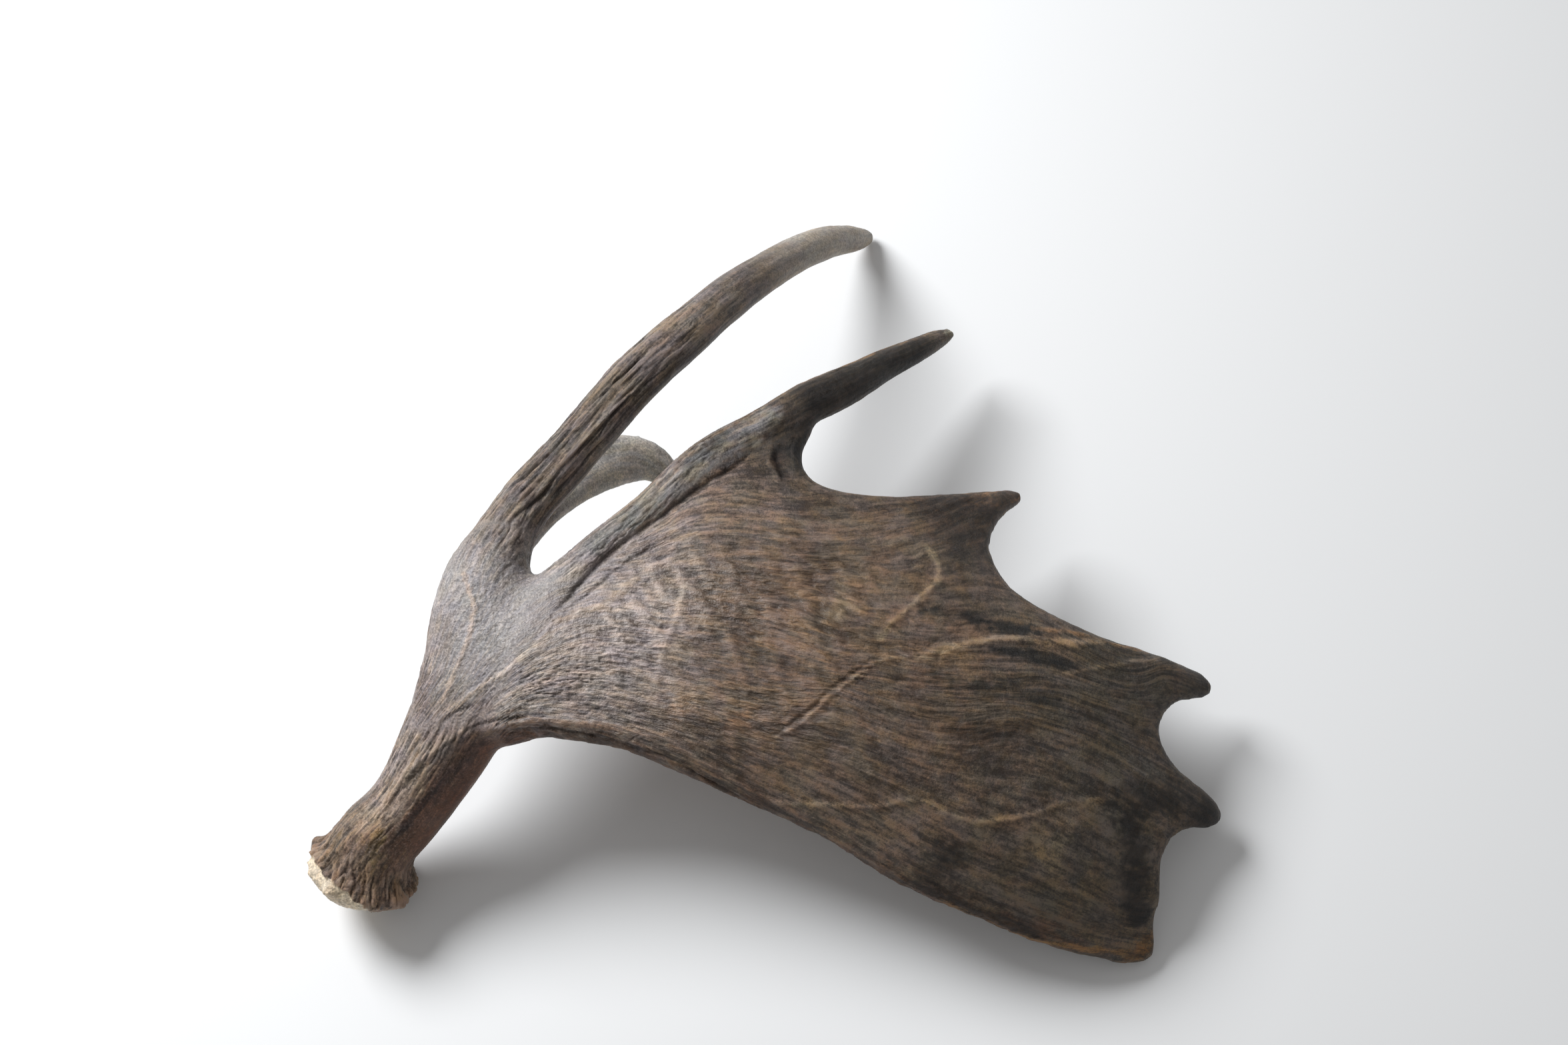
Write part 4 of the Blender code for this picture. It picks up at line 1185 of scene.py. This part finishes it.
def bone_colour(make, patterns, felt):
    """The painted tone, turned in hue, lightened and darkened by the patterns (the crests lighter
    and the grooves darker, partly painted highlight and shade), and dusted with pale flecks that
    are partly dust and partly painted glints.
    """
    turned = make.times(make.between(felt["gritty"], 1.0, 0.65), felt["soft"])
    tone = make.kept("tone", "Color")
    for name, (low, high, one, other) in HUES.items():
        hue = make.mix(make.range(patterns[name], low, high), one, other)
        tone = make.mix(turned, tone, hue, 'MULTIPLY')
    level = make.total(patterns, felt, LIGHT_SHARES)
    colour = tone
    for full, tint in ((FULL_SWING, BRIGHT), (-FULL_SWING, DARK)):
        amount = make.range(level, 0.0, full, steps='LINEAR')
        colour = make.mix(amount, colour, make.mix(1.0, tone, tint, 'MULTIPLY'))
    # pale flecks among the grains, partly dust and partly painted glints, and a painted highlight
    # on the gritty crests
    dust_and_glints = make.range(patterns["grains"], 0.52, 0.75, 0.0, 0.3)
    painted_crest_highlight = make.range(patterns["crest"], 0.3, 0.7, 0.0, 0.22)
    dusted_and_glinting = make.times(felt["gritty"], make.calc('MAXIMUM', dust_and_glints, painted_crest_highlight))
    return make.mix(dusted_and_glinting, colour, opaque(DUST_AND_GLINT))


def bone_finish():
    """Weathered bone: dashes and streaks that follow the fibres, dark grooves, tan crests; the
    grooves and crests are partly wear and partly painted shade and painted highlight.
    """
    material = bpy.data.materials.new("antler_bone")
    make = Nodes(material)
    felt = {name: make.kept(name) for name in ("gritty", "beaded", "streaked")}
    felt["bare"] = make.between(felt["beaded"], 1.0, 0.0)
    felt["soft"] = make.between(felt["streaked"], 0.4, 1.0)
    patterns = bone_patterns(make, felt)
    bump = make.add("ShaderNodeBump")
    make.feed(bump, {"Height": make.total(patterns, felt, HEIGHT_SHARES), "Strength": 1.0,
                     "Distance": MM})
    shader = make.add("ShaderNodeBsdfPrincipled")
    make.feed(shader, {"Base Color": bone_colour(make, patterns, felt), "Normal": bump.outputs[0],
                       "Roughness": make.calc('MULTIPLY_ADD', patterns["grit"], 0.05,
                                              make.between(felt["gritty"], 0.44, 0.32)),
                       "Specular IOR Level": 0.32})
    make.feed(make.add("ShaderNodeOutputMaterial"), {"Surface": shader.outputs[0]})
    return material


# ---------------------------------------------------------------- parting the skin into limbs

def part_skin(antler):
    """One closed piece to a limb, with the shading of the whole skin kept across the cuts."""
    store(antler.data, "skin_normal", vertex_normals(antler.data))
    names = list(FORKS)
    labels = limb_of(face_middles(antler.data))
    numbers = [names.index(label) if label in names else -1 for label in labels]
    antler.data.attributes.new("limb", 'INT', 'FACE').data.foreach_set("value", numbers)
    pieces = {"beam": antler}
    for number, name in enumerate(names):
        own = read(antler.data.attributes["limb"].data, "value", kind=np.int32) == number
        with editing(antler, 'FACE', own):
            bpy.ops.mesh.separate(type='SELECTED')
        pieces[name] = next(thing for thing in bpy.context.selected_objects if thing != antler)
    for name, piece in pieces.items():
        piece.name = name + "_skin"
        piece.data.name = name + "_skin"
        close_cuts(piece)
    return pieces


def close_cuts(piece):
    """Close the piece where it was cut off, flat, and shade the rest as the whole skin was."""
    mesh = piece.data
    skin_faces = len(mesh.polygons)
    with editing(piece, 'EDGE'):
        bpy.ops.mesh.fill_holes(sides=0)
    ways = read(mesh.attributes["skin_normal"].data, "vector", 3)
    corner_ways = ways[read(mesh.loops, "vertex_index", kind=np.int32)]
    for face in mesh.polygons[skin_faces:]:
        corner_ways[face.loop_start:face.loop_start + face.loop_total] = face.normal
    mesh.polygons.foreach_set("use_smooth", np.arange(len(mesh.polygons)) < skin_faces)
    mesh.normals_split_custom_set(corner_ways.tolist())
    for name in ("skin_normal", "limb"):
        mesh.attributes.remove(mesh.attributes[name])


# ---------------------------------------------------------------- floor, light and camera

def pale_floor():
    bpy.ops.mesh.primitive_plane_add(size=FLOOR_SIDE)
    floor = bpy.context.object
    floor.name = "floor"
    material = bpy.data.materials.new("pale_floor")
    make = Nodes(material)
    shader = make.add("ShaderNodeBsdfPrincipled")
    make.feed(shader, {"Base Color": opaque(FLOOR_TONE), "Roughness": 0.7,
                       "Specular IOR Level": 0.2})
    make.feed(make.add("ShaderNodeOutputMaterial"), {"Surface": shader.outputs[0]})
    floor.data.materials.append(material)


def key_light():
    """One large round light, high up and behind the antler on the left."""
    bpy.ops.object.light_add(type='AREA', location=LIGHT_PLACE)
    lamp = bpy.context.object
    lamp.name = "key_light"
    lamp.data.shape = 'DISK'
    lamp.data.size = LIGHT_SIZE
    lamp.data.energy = LIGHT_POWER
    lamp.data.color = LIGHT_COLOUR
    way = Vector(LIGHT_TARGET) - Vector(LIGHT_PLACE)
    lamp.rotation_euler = way.to_track_quat('-Z', 'Y').to_euler()


def pale_room():
    world = bpy.data.worlds.new("pale_room")
    world.use_nodes = True
    background = world.node_tree.nodes["Background"]
    background.inputs["Color"].default_value = (1.0, 1.0, 1.0, 1.0)
    background.inputs["Strength"].default_value = ROOM_LIGHT
    bpy.context.scene.world = world
    bpy.context.scene.view_settings.view_transform = 'Standard'
    bpy.context.scene.view_settings.look = 'None'


def camera():
    back = Vector((0.0, -math.cos(VIEW_HEIGHT), math.sin(VIEW_HEIGHT)))
    bpy.ops.object.camera_add(location=Vector(VIEW_TARGET) + VIEW_DISTANCE * back)
    eye = bpy.context.object
    eye.rotation_euler = (math.pi / 2 - VIEW_HEIGHT, 0.0, 0.0)
    eye.data.lens = VIEW_LENS
    bpy.context.scene.camera = eye


antler = grown_together()
fine_skin(antler)
mark_forks(antler)
carve(antler)
bone = bone_finish()
for name, piece in part_skin(antler).items():
    piece.data.materials.append(bone)
    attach(piece, "root")
    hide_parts(name)
pale_floor()
key_light()
pale_room()
camera()
